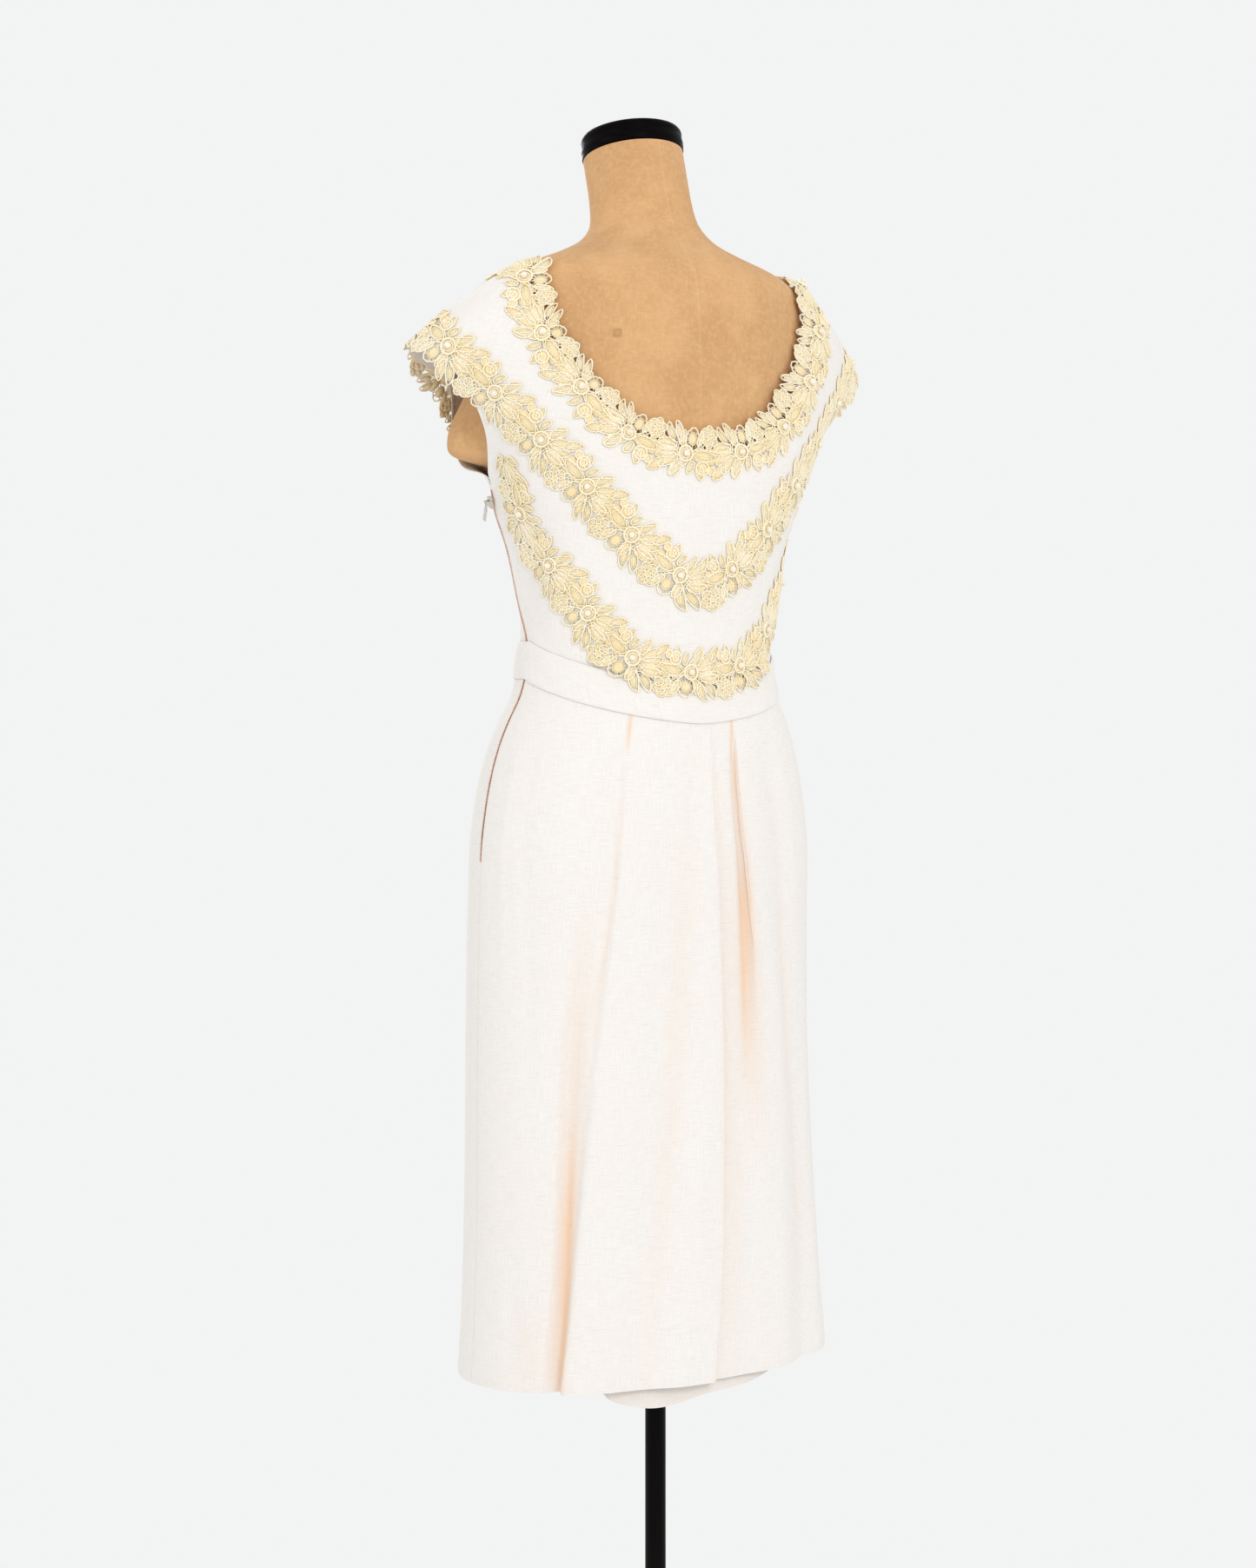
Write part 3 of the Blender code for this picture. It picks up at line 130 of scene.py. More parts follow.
# Folds of the back skirt: the angle round the body and the height off it, at six levels.
# Angles are in degrees from the left side seam (0) over the centre back (90), heights in mm.
FOLD_LEVELS = (0.465, 0.600, 0.765, 0.900, 1.000, 1.062)
FOLDS = {
    "left_ridge": ((34, 38, 41, 43, 42, 40), (3, 3, 2.5, 2.5, 1.5, 0)),
    "left_valley": ((41, 43.2, 45.5, 55, 54, 50), (-6, -6, -5, -2, -1.5, 0)),
    "left_crest": ((42.6, 48.6, 56, 61.2, 62.2, 62), (9, 9, 7, 3.5, 2, 0.8)),
    "panel_left": ((55, 60, 66, 70, 72, 73), (6, 6, 5, 3, 2, 0.6)),
    "panel_trough": ((68.3, 73.5, 80.5, 83, 85, 86.5), (0, 0, 0, 0, -0.3, 0)),
    "panel_right": ((80, 86, 92, 92, 91, 91.8), (6, 6, 5.5, 4, 3, 0.8)),
    "centre_crest": ((89, 93.7, 96, 94.6, 92.4, 94.0), (6, 6, 5.5, 4.5, 3.5, 1)),
    "centre_foot": ((90, 94.7, 97, 95.6, 93.4, 95.0), (-3, -4, -4, -2.5, -1.5, -0.8)),
    "kick_foot": ((100, 103, 107.6, 105.2, 102, 104), (-3, -3, -4.5, -2.5, -1.5, -0.8)),
    "kick_crest": ((108, 112, 112.6, 106.6, 103, 105), (1, 1.5, 2.5, 4, 3, 1)),
    "right_ridge": ((116, 119, 121, 113, 111, 112), (3, 3, 3, 3, 2, 0.6)),
    "right_trough": ((129.5, 134, 131, 124, 120.5, 120), (-4, -4, -3, -2, -1.5, 0)),
    "right_side": ((142, 146, 146, 140, 136, 136), (3, 2, 1, 1, 0.8, 0)),
}
FOLD_SPLITS = (4, 2, 1, 2, 2, 2, 1, 1, 1, 1, 1, 2, 2, 3)  # columns in each space between folds
FRONT_FOLDS = {  # the front is plain: soft waves only, same columns as above
    "right_wave": ((205, 207, 209, 210, 210, 210), (2.5, 2, 1.5, 1, 0.5, 0)),
    "right_hollow": ((232, 231, 229, 228, 228, 228), (-2.5, -2, -1.5, -1, -0.5, 0)),
    "middle_wave": ((262, 263, 265, 266, 267, 268), (3, 2.5, 2, 1.2, 0.6, 0)),
    "left_hollow": ((294, 295, 297, 299, 300, 300), (-2.5, -2, -1.5, -1, -0.5, 0)),
    "left_wave": ((326, 327, 329, 330, 330, 330), (2.5, 2, 1.2, 0.8, 0.4, 0)),
}
FRONT_SPLITS = (2, 2, 3, 3, 3, 2)
SKIRT_LEVELS = (0.0, 0.09, 0.2, 0.32, 0.44, 0.55, 0.65, 0.74, 0.81, 0.87, 0.915, 0.95, 0.975, 1.0)

# Bodice: each row runs from the side (side seam, then armhole) to the centre line
TIP = (0.236, -0.036, 1.3935)
NECK_POINT = (0.149, 0.017, 1.468)
NECK_SHARE = 0.30  # share of a half row that the shoulder seam takes
BACK_ROWS = (  # side, quarter, panel, centre
    ((0.1245, -0.0350, 1.163), (0.1130, 0.0290, 1.160), (0.0620, 0.0670, 1.155), (0.0, 0.0790, 1.152)),
    ((0.1344, -0.0380, 1.212), (0.1190, 0.0320, 1.212), (0.0680, 0.0715, 1.205), (0.0, 0.0825, 1.200)),
    ((0.1472, -0.0380, 1.248), (0.1310, 0.0330, 1.248), (0.0730, 0.0730, 1.240), (0.0, 0.0850, 1.235)),
    ((0.1570, -0.0300, 1.277), (0.1430, 0.0340, 1.281), (0.0790, 0.0750, 1.268), (0.0, 0.0862, 1.260)),
    ((0.1756, -0.0010, 1.319), (0.1540, 0.0390, 1.322), (0.0880, 0.0757, 1.290), (0.0, 0.0867, 1.276)),
    ((0.2030, 0.0050, 1.3625), (0.1630, 0.0415, 1.368), (0.1000, 0.0735, 1.317), (0.0, 0.0868, 1.287)),
    ((0.2298, -0.0120, 1.386), (0.1680, 0.0350, 1.418), (0.1080, 0.0720, 1.335), (0.0, 0.0867, 1.2925)),
)
BACK_NECKLINE = (
    NECK_POINT,
    (0.1520, 0.0360, 1.435),
    (0.1470, 0.0500, 1.405),
    (0.1360, 0.0600, 1.383),
    (0.1147, 0.0700, 1.352),
    (0.0950, 0.0760, 1.331),
    (0.0740, 0.0805, 1.313),
    (0.0430, 0.0850, 1.302),
    (0.0, 0.0865, 1.2965),
)
FRONT_ROWS = (  # the two highest have five evenly spread points
    ((0.1245, -0.0350, 1.163), (0.1000, -0.0730, 1.163), (0.0600, -0.1070, 1.163), (0.0, -0.1180, 1.163)),
    ((0.1344, -0.0380, 1.212), (0.1060, -0.0850, 1.212), (0.0680, -0.1230, 1.212), (0.0, -0.1200, 1.212)),
    ((0.1472, -0.0380, 1.248), (0.1200, -0.0840, 1.248), (0.0720, -0.1215, 1.248), (0.0, -0.1190, 1.248)),
    ((0.1570, -0.0300, 1.277), (0.1310, -0.0800, 1.280), (0.0780, -0.1150, 1.276), (0.0, -0.1165, 1.274)),
    ((0.1630, -0.0730, 1.291), (0.1390, -0.0970, 1.302), (0.0850, -0.1160, 1.305), (0.0, -0.1155, 1.310)),
    ((0.1600, -0.0980, 1.322), (0.1450, -0.1060, 1.340), (0.0900, -0.1110, 1.343), (0.0, -0.1085, 1.340)),
    ((0.1720, -0.0820, 1.366), (0.1660, -0.0680, 1.400), (0.1420, -0.0860, 1.382), (0.0800, -0.1035, 1.358),
     (0.0, -0.1045, 1.351)),
    ((0.2120, -0.0620, 1.384), (0.1730, -0.0140, 1.447), (0.1580, -0.0500, 1.414), (0.0920, -0.0945, 1.371),
     (0.0, -0.1005, 1.362)),
)
FRONT_NECKLINE = (
    NECK_POINT,
    (0.1530, -0.0090, 1.455),
    (0.1500, -0.0340, 1.432),
    (0.1400, -0.0590, 1.410),
    (0.1200, -0.0780, 1.394),
    (0.0900, -0.0900, 1.381),
    (0.0450, -0.0960, 1.374),
    (0.0, -0.0978, 1.372),
)
HALF_COLUMNS = (0.0, 0.075, 0.15, 0.225, 0.30, 0.40, 0.51, 0.63, 0.75, 0.875, 1.0)
SEAM_LEVELS = 5  # bodice levels from the waist seam up to the underarm
WAIST_SEAM_ANGLES = (0.0, math.radians(-6))  # side seam at the waist seam and just above the belt

# Middle lines of the lace rows on the left half, from the outer end to the centre
MID_BACK = (
    (0.2175, -0.0230, 1.4064), (0.1970, 0.0120, 1.3720), (0.1710, 0.0340, 1.3350),
    (0.1400, 0.0570, 1.2970), (0.1005, 0.0740, 1.2545), (0.0580, 0.0805, 1.2140),
    (0.0200, 0.0830, 1.1880), (0.0, 0.0835, 1.1830),
)
MID_FRONT = (
    (0.2175, -0.0230, 1.4064), (0.1980, -0.0640, 1.3900), (0.1660, -0.0850, 1.3650),
    (0.1280, -0.1040, 1.3240), (0.0920, -0.1140, 1.2730), (0.0560, -0.1200, 1.2290),
    (0.0200, -0.1200, 1.1970), (0.0, -0.1190, 1.1910),
)
LOW_BACK = (
    (0.1640, 0.0080, 1.2980), (0.1540, 0.0060, 1.2700), (0.1290, 0.0030, 1.2230),
    (0.1120, 0.0340, 1.1820), (0.0870, 0.0580, 1.1370), (0.0640, 0.0700, 1.1150),
    (0.0320, 0.0770, 1.1045), (0.0, 0.0780, 1.1020),
)
LOW_FRONT = (  # laid higher than in the solids, so that the whole strip is on the bodice
    (0.1060, -0.0930, 1.2350), (0.0980, -0.0930, 1.2100), (0.0900, -0.0940, 1.1820),
    (0.0740, -0.1020, 1.1560), (0.0500, -0.1130, 1.1425), (0.0250, -0.1180, 1.1373),
    (0.0, -0.1195, 1.1362),
)

LACE_WIDTH = 0.0285  # half the width of the strip
MIDDLE_Y = -0.02
BODY_MIDDLE = Vector((0.0, MIDDLE_Y, 1.25))
CAP_DROOP = 0.6  # how far lace past the cap's edge turns down
CAP_LOW = 1.330  # height in the armhole from which it does

ZIP_END_Z = 0.930
ZIP_TOP_Z = 1.272
ZIP_TAPE_WIDTH = 0.018
TAPE_GAP = 0.0009
TINY = 1e-9  # slack for shares that should be equal


def unit(vectors):
    """Vectors along the last axis, brought to a length of 1."""
    return vectors / np.maximum(np.linalg.norm(vectors, axis=-1, keepdims=True), 1e-12)


def placed(name, data):
    """New object that shows data, linked into the scene."""
    made = bpy.data.objects.new(name, data)
    bpy.context.scene.collection.objects.link(made)
    return made


def carry(mesh, title, values, kind="FLOAT_VECTOR"):
    """Keep a direction or a number at every point of a mesh."""
    layer = mesh.attributes.new(title, kind, "POINT")
    values = np.asarray(values, np.float32).ravel()
    layer.data.foreach_set("vector" if kind == "FLOAT_VECTOR" else "value", values)


def carrier(name, points, edges, faces, **directions):
    """Bare mesh that only carries directions for a node tree to read."""
    mesh = bpy.data.meshes.new(name)
    mesh.from_pydata(points.reshape(-1, 3).tolist(), edges, faces)
    for title, values in directions.items():
        carry(mesh, title, values)
    return placed(name, mesh)


def facing_out(normal, near):
    """A surface's direction, turned away from the body's middle."""
    return -normal if normal.dot(near - BODY_MIDDLE) < 0 else normal


def over_surface(tree, point, reach=10.0):
    """Height of a point over the nearest spot of a surface, how far aside it is, and the way out there."""
    near, normal, _, distance = tree.find_nearest(point, reach)
    if near is None:
        return None
    normal = facing_out(normal, near)
    over = (point - near).dot(normal)
    return over, math.sqrt(max(distance * distance - over * over, 0.0)), normal


def smooth_curve(knots, values, at):
    """Values of the monotone cubic through the knots, at the places in at."""
    knots = np.asarray(knots, float)
    values = np.asarray(values, float)
    at = np.asarray(at, float)
    step = np.diff(knots)
    slope = np.diff(values) / step
    tangent = np.empty(len(knots))
    tangent[0], tangent[-1] = slope[0], slope[-1]
    for i in range(1, len(step)):
        if slope[i - 1] * slope[i] <= 0:
            tangent[i] = 0.0
            continue
        before = 2 * step[i] + step[i - 1]
        after = step[i] + 2 * step[i - 1]
        tangent[i] = (before + after) / (before / slope[i - 1] + after / slope[i])
    i = np.clip(np.searchsorted(knots, at, side="right") - 1, 0, len(step) - 1)
    u = np.clip((at - knots[i]) / step[i], 0.0, 1.0)
    rise = 3 * u**2 - 2 * u**3
    leave = (u - 2 * u**2 + u**3) * step[i] * tangent[i]
    arrive = (u**3 - u**2) * step[i] * tangent[i + 1]
    return values[i] * (1 - rise) + values[i + 1] * rise + leave + arrive


def cubic(a, b, c, d, u):
    """Point at u between b and c of the cubic that runs through a, b, c and d."""
    return 0.5 * (2 * b + (c - a) * u + (2 * a - 5 * b + 4 * c - d) * u**2 + (3 * b - a - 3 * c + d) * u**3)


def spline(points, shares, closed=False):
    """Points of the cubic through the given ones, at shares 0 to 1 of its length."""
    points = np.asarray(points, float)
    if closed:
        points = np.vstack([points[-1:], points, points[:2]])
    else:
        points = np.vstack([2 * points[0] - points[1], points, 2 * points[-1] - points[-2]])
    fine = []
    for a, b, c, d in zip(points[:-3], points[1:-2], points[2:-1], points[3:]):
        for u in np.linspace(0, 1, 24, endpoint=False):
            fine.append(cubic(a, b, c, d, u))
    fine.append(points[-2])
    fine = np.array(fine)
    length = np.concatenate([[0], np.cumsum(np.linalg.norm(np.diff(fine, axis=0), axis=1))])
    at = np.asarray(shares, float) * length[-1]
    return np.stack([np.interp(at, length, fine[:, k]) for k in range(3)], axis=-1), length[-1]


def row_spline(points, at):
    """Cubic through a row's points, evenly spaced in the parameter, read at 0 to 1."""
    points = np.asarray(points, float)
    last = len(points) - 1
    padded = np.vstack([2 * points[0] - points[1], points, 2 * points[-1] - points[-2]])
    out = []
    for share in at:
        i = min(int(share * last), last - 1)
        u = share * last - i
        a, b, c, d = padded[i : i + 4]
        out.append(cubic(a, b, c, d, u))
    return np.array(out)


def section(table, z):
    """Half width, centre, back and front depth at the heights z."""
    return [smooth_curve(table[:, 0], table[:, k], z) for k in range(1, 5)]


def ring(table, angle, z):
    """Points round the body at the given angles and heights, and their outward directions."""
    half_width, centre, back, front = section(table, z)
    depth = np.where(np.sin(angle) >= 0, back, front)
    points = np.stack([half_width * np.cos(angle), centre + depth * np.sin(angle), z + 0 * angle], axis=-1)
    out = np.stack([np.cos(angle) / half_width, np.sin(angle) / depth, 0 * angle], axis=-1)
    return points, unit(out)


def belt_bottom(angle):
    """Height of the belt's lower edge, which dips at the centre back."""
    lift = np.where(np.sin(angle) > 0, 1 - np.clip(np.sin(angle), 0, 1), 1.0)
    return BELT_LOW_Z + BELT_DIP[0] * lift ** BELT_DIP[1]


def hem_height(angle):
    """Hem, a little higher on the wearer's right."""
    return HEM_Z + HEM_TILT[0] - HEM_TILT[1] * np.cos(angle)


# Cloth

BODICE_FINER = 5  # columns of the shown bodice in each column of its solid
BODICE_SPLITS = 7  # and rows between two rows of its tables


def cells(rows, columns, closed):
    """Corner numbers of a grid's cells, and the columns of those corners counted on past the join."""
    i, j = np.meshgrid(np.arange(rows - 1), np.arange(columns if closed else columns - 1), indexing="ij")
    i, j = i.ravel(), j.ravel()
    place = np.stack([np.stack([i, j], 1), np.stack([i, j + 1], 1), np.stack([i + 1, j + 1], 1),
                      np.stack([i + 1, j], 1)], 1)
    return place[..., 0] * columns + place[..., 1] % columns, place


def edge_cells(rows, columns, closed):
    """Pairs of grid places along the edges of the cloth, in the order of the outer faces."""
    across = np.arange(columns if closed else columns - 1)
    pairs = [((0, j), (0, j + 1)) for j in across] + [((rows - 1, j + 1), (rows - 1, j)) for j in across]
    if not closed:
        pairs += [((i + 1, 0), (i, 0)) for i in range(rows - 1)]
        pairs += [((i, columns - 1), (i + 1, columns - 1)) for i in range(rows - 1)]
    return np.array(pairs)


def flat_lengths(outer, closed):
    """Lengths across and up the cloth at every point: the cut piece laid flat."""
    if closed:
        outer = np.concatenate([outer, outer[:, :1]], 1)
    across = np.linalg.norm(np.diff(outer, axis=1), axis=2)
    across = np.concatenate([np.zeros((len(outer), 1)), np.cumsum(across, 1)], 1)
    across -= across[:, across.shape[1] // 2][:, None]
    up = np.linalg.norm(np.diff(outer, axis=0), axis=2)
    up = np.concatenate([np.zeros((1, outer.shape[1])), np.cumsum(up, 0)], 0)
    return np.stack([across, up], -1)


def cloth(name, outer, inner, look, warm_shade=None, closed=False):
    """Closed thin wall between two grids of points, with the lengths of the flat cloth as its UV map."""
    rows, columns = outer.shape[:2]
    points = np.concatenate([outer.reshape(-1, 3), inner.reshape(-1, 3)])
    quads, places = cells(rows, columns, closed)
    shift = rows * columns
    ends = edge_cells(rows, columns, closed)
    a, b = (ends[:, k, 0] * columns + ends[:, k, 1] % columns for k in (0, 1))
    faces = np.concatenate([quads, quads[:, ::-1] + shift, np.stack([b, a, shift + a, shift + b], 1)])
    places = np.concatenate([places, places[:, ::-1], ends[:, [1, 0, 0, 1]]])
    if turned_in(points, faces):
        faces, places = faces[:, ::-1], places[:, ::-1]
    uv = flat_lengths(outer, closed)[places[..., 0].ravel(), places[..., 1].ravel()]
    made = solid(name, points, faces, look, uv)
    # painted warm shade: its share at every point, which the linen's colour reads
    if warm_shade is not None:
        carry(made.data, "warm_shade", np.tile(np.broadcast_to(warm_shade, outer.shape[:2]).ravel(), 2), "FLOAT")
    return made


def turned_in(points, faces):
    corner = points[faces]
    first = np.cross(corner[:, 1], corner[:, 2])
    second = np.cross(corner[:, 2], corner[:, 3])
    return (corner[:, 0] * (first + second)).sum() < 0


def solid(name, points, faces, look, uv=None, sharp=50):
    """Mesh object from arrays; its faces all have the same number of corners, or come as a list."""
    mesh = bpy.data.meshes.new(name)
    mesh.from_pydata(points.tolist(), [], faces if isinstance(faces, list) else faces.tolist())
    if uv is not None:
        layer = mesh.uv_layers.new(name="cut")
        layer.data.foreach_set("uv", uv.astype(np.float32).ravel())
    mesh.materials.append(look)
    mesh.polygons.foreach_set("use_smooth", [True] * len(mesh.polygons))
    mesh.set_sharp_from_angle(angle=math.radians(sharp))
    return placed(name, mesh)


def finer(values, parts):
    """Values with each step cut into parts."""
    values = np.asarray(values, float)
    shares = np.arange(parts) / parts
    return np.concatenate([(values[:-1, None] + np.diff(values)[:, None] * shares).ravel(), values[-1:]])


def refine(grid, parts):
    """Rows of a grid made denser along smooth curves."""
    ends = np.concatenate([2 * grid[:1] - grid[1:2], grid, 2 * grid[-1:] - grid[-2:-1]])
    rows = []
    for a, b, c, d in zip(ends[:-3], ends[1:-2], ends[2:-1], ends[3:]):
        rows += [cubic(a, b, c, d, k / parts) for k in range(parts)]
    return np.array(rows + [grid[-1]])


def surface_normals(grid, closed=False):
    """Outward directions over a grid of points round the body."""
    if closed:
        around = np.roll(grid, -1, 1) - np.roll(grid, 1, 1)
    else:
        around = np.gradient(grid, axis=1)
    normal = unit(np.cross(around, np.gradient(grid, axis=0)))
    return normal * np.sign((normal * (grid - np.array(BODY_MIDDLE))).sum(-1).mean())


def unrolled(grid):
    """Degrees round the body from the left side, as in ring(), and millimetres up, at every point."""
    half_width, centre, back, front = section(BODY, grid[..., 2])
    rear = grid[..., 1] - centre
    degrees = np.degrees(np.arctan2(rear / np.where(rear >= 0, back, front), grid[..., 0] / half_width)) % 360
    return np.stack([degrees, grid[..., 2] * 1000], -1)


def creases(grid, table, ends=0.5):
    """Height in metres that a table of soft troughs and ridges gives at every point of a grid."""
    at = unrolled(grid)
    radius = np.hypot(grid[..., 0], grid[..., 1] - MIDDLE_Y) * 1000
    total = np.zeros(grid.shape[:2])
    for points, width, height in table:
        knots = np.array(points, float)
        best = np.full(grid.shape[:2], 1e9)
        share = np.zeros(grid.shape[:2])
        for k, (start, end) in enumerate(zip(knots[:-1], knots[1:])):
            scale = np.stack([np.radians(1) * radius, np.ones_like(radius)], -1)
            rel = (at - start) * scale
            way = (end - start) * scale
            along = np.clip((rel * way).sum(-1) / np.maximum((way * way).sum(-1), 1e-9), 0, 1)
            apart = np.linalg.norm(rel - way * along[..., None], axis=-1)
            closer = apart < best
            best = np.where(closer, apart, best)
            share = np.where(closer, (k + along) / (len(knots) - 1), share)
        fade = np.clip(np.sin(math.pi * share), 0, 1) ** ends
        total += height / 1000 * fade * np.exp(-((best / width) ** 2))
    return total


# Creases: points as degrees round and millimetres up, width and height in millimetres
SKIRT_BACK_CREASES = (
    (((24, 1040), (26, 960), (30, 860), (30, 700)), 9, -1.2),
    (((16, 1040), (15, 940), (18, 800)), 7, 0.9),
    (((52, 1030), (53, 940), (51, 840), (48, 740)), 8, 1.0),
    (((78, 1040), (77, 960), (74, 850), (70, 700)), 7, -0.9),
    (((84, 1045), (85, 1010), (85, 985)), 2.2, -0.7),
    (((62.0, 1085), (61.4, 1000), (59.8, 900), (54.4, 790), (50.6, 700), (46.6, 600)), 2.6, -2.0),
    (((95.4, 1085), (93.9, 1000), (96.2, 900), (97.7, 765), (95.3, 600), (90.8, 440)), 2.6, -2.0),
    (((105, 1085), (102.9, 1000), (106.2, 900), (108.4, 820), (108.6, 740)), 2.8, -2.2),
    (((97.0, 1050), (96.4, 1000), (98.8, 900), (100.4, 765)), 5.0, -1.0),
    (((120, 1045), (123, 980), (127, 880), (131, 740)), 6, -1.0),
    (((128, 1040), (132, 960), (137, 840)), 7, 0.8),
    (((148, 1030), (152, 900), (154, 700)), 9, -0.9),
    (((60, 560), (63, 520), (65, 480)), 7, 0.9),
    (((22, 560), (24, 510), (25, 475)), 10, -1.1),
    (((110, 640), (113, 560), (112, 480)), 9, -0.9),
    (((88, 700), (87, 600), (85, 500)), 8, 0.7),
    (((61.0, 1060), (60.9, 1000), (59.6, 920), (55.2, 830), (50.9, 740), (46.6, 620), (43.8, 520)),
     2.4, -1.5),
    (((95.6, 1060), (94.9, 1000), (97.4, 900), (98.9, 765), (96.6, 600), (92.2, 465)), 2.4, -1.3),
    (((103.6, 1080), (103.0, 1030), (102.7, 985), (105.0, 920), (106.8, 860), (107.8, 800)), 2.4, -1.6),
)
SKIRT_WARM_SHADE = (  # painted warm shade in the folds, where light comes back warmer: route, width and strength
    (((52.0, 940), (49.6, 850), (46.5, 740), (43.8, 620), (42.0, 500), (40.6, 380), (40.2, 200)), 9, 0.36),
    (((45.6, 720), (44.3, 650), (43.2, 580), (42.2, 500), (41.4, 400), (40.8, 200)), 5.5, 1.05),
    (((104.0, 1100), (103.2, 1040), (102.9, 990), (104.6, 930)), 1.3, 0.85),
    (((103.2, 1000), (105.4, 920), (106.9, 865), (107.7, 810), (108.4, 720)), 3.2, 0.95),
    (((104, 960), (106, 890), (108.2, 820), (109.6, 740), (110, 640)), 8, 0.34),
    (((94.6, 1070), (93.8, 1000), (96.2, 900), (97.7, 765), (95.4, 600), (90.8, 465), (90, 400)), 3.5, 0.26),
    (((86.5, 1060), (85, 1000), (83, 900), (80.5, 765), (73.5, 600), (68.3, 465), (67, 400)), 8, 0.13),
    (((120, 1040), (124, 900), (131, 765), (134, 600), (129.5, 465)), 7, 0.14),
    (((62, 1080), (62.1, 1055), (62.3, 1025)), 1.1, 1.00),
    (((61.6, 1030), (60.6, 930), (56, 830), (52, 740)), 2.2, 0.30),
    (((104, 1080), (103.8, 1060), (103.6, 1035)), 1.2, 0.80),
    (((99.0, 1040), (99.4, 900), (101.5, 765), (100.5, 600), (95.6, 465), (95, 380)), 7, 0.12),
    (((30, 560), (31, 510), (31, 420)), 16, 0.12),
)
SKIRT_FRONT_CREASES = (
    (((200, 1040), (204, 900), (203, 720)), 9, -1.0),
    (((222, 1045), (226, 940), (228, 800)), 7, 0.8),
    (((246, 1045), (250, 900), (252, 700)), 8, -0.9),
    (((274, 1045), (276, 940), (274, 760)), 7, 0.9),
    (((300, 1040), (303, 900), (300, 720)), 8, -0.8),
    (((322, 1040), (327, 900), (330, 740)), 9, 0.9),
    (((344, 1030), (342, 880), (345, 700)), 8, -0.9),
    (((262, 620), (266, 560), (268, 490)), 10, 0.8),
    (((215, 600), (213, 540), (216, 480)), 10, -0.8),
)
BACK_CREASES = (
    (((58, 1290), (57, 1262), (56, 1240)), 3.5, -0.6),
    (((74, 1236), (75, 1190), (76, 1150)), 4.5, -0.6),
    (((96, 1185), (97, 1160), (98, 1145)), 4.0, -0.6),
    (((112, 1330), (122, 1300), (133, 1265), (150, 1240)), 6.0, -0.9),
    (((104, 1300), (115, 1270), (128, 1245)), 5.0, 0.7),
    (((20, 1235), (30, 1200), (40, 1170)), 7.0, -0.9),
    (((16, 1190), (26, 1165), (36, 1150)), 6.0, 0.8),
    (((150, 1225), (140, 1190), (132, 1160)), 7.0, -0.9),
    (((84, 1255), (86, 1230), (87, 1205)), 7.0, 0.5),
    (((62, 1180), (66, 1160), (70, 1148)), 5.0, 0.5),
)
FRONT_CREASES = (
    (((230, 1200), (236, 1170), (238, 1145)), 6.0, -0.9),
    (((305, 1200), (300, 1170), (298, 1145)), 6.0, -0.9),
    (((212, 1250), (222, 1240), (232, 1236)), 6.0, 0.7),
    (((330, 1248), (320, 1240), (310, 1236)), 6.0, 0.7),
    (((250, 1330), (262, 1310), (275, 1318)), 7.0, -0.6),
    (((266, 1190), (268, 1160), (270, 1140)), 6.0, 0.6),
)


def fold_columns(folds, splits, first, last, z):
    """Angles and heights off the body of every column of a skirt panel, at the heights z."""
    level = np.clip(z, FOLD_LEVELS[0], FOLD_LEVELS[-1])
    angles = [first + 0 * z]
    heights = [0 * z]
    for angle_row, height_row in folds.values():
        angles.append(smooth_curve(FOLD_LEVELS, np.radians(angle_row), level))
        heights.append(smooth_curve(FOLD_LEVELS, np.array(height_row) / 1000, level))
    angles.append(last + 0 * z)
    heights.append(0 * z)
    angles, heights = np.stack(angles, 1), np.stack(heights, 1)
    shares = np.concatenate([i + np.arange(n) / n for i, n in enumerate(splits)] + [[len(splits)]])
    whole = np.arange(angles.shape[1], dtype=float)
    all_angles = np.array([np.interp(shares, whole, row) for row in angles])
    all_heights = np.array([smooth_curve(row, h, a) for row, h, a in zip(angles, heights, all_angles)])
    return all_angles, all_heights


def skirt_outer(folds, splits, first, last, levels):
    """Outer points of a skirt panel between two side seams, hem to waist seam."""
    rows = []
    count = sum(splits) + 1
    angle = np.linspace(first, last, count)
    for share in levels:
        for _ in range(2):
            top = belt_bottom(angle) + BELT_HEIGHT / 2 - WAIST_GAP / 2
            z = hem_height(angle) + (top - hem_height(angle)) * share
            grid, lift = fold_columns(folds, splits, first, last, z)
            angle = np.diagonal(grid).copy()
            height = np.diagonal(lift).copy()
        fade = np.clip((belt_bottom(angle) - z) / 0.030, 0, 1)
        points, out = ring(BODY, angle, z)
        rows.append(points + out * (height * fade)[:, None])
    return np.array(rows)


HEM_DEPTH = 0.036  # of the turned hem
HEM_RISE = 0.00035  # how much thicker the turned hem makes the cloth
HEM_ROUND = 0.0012  # height over which its edges round off
STITCH_DIMPLES = (0.00035, 0.0025, 3.1)  # depth and height in metres, degrees from one to the next
EDGE_FADE = (6, 8)  # columns over which relief dies away at an edge of the skirt, and of the bodice
BELT_FADE = 0.020  # height under the belt over which the skirt's creases do
ZIP_FADE = 0.020  # height over which the side seam opens for the zip
WARM_SHADE_ENDS = 1.4  # how gently a place of painted warm shade starts and stops


def from_edge(count):
    """Columns from each of count columns to the nearer edge."""
    return np.minimum(np.arange(count), np.arange(count)[::-1])


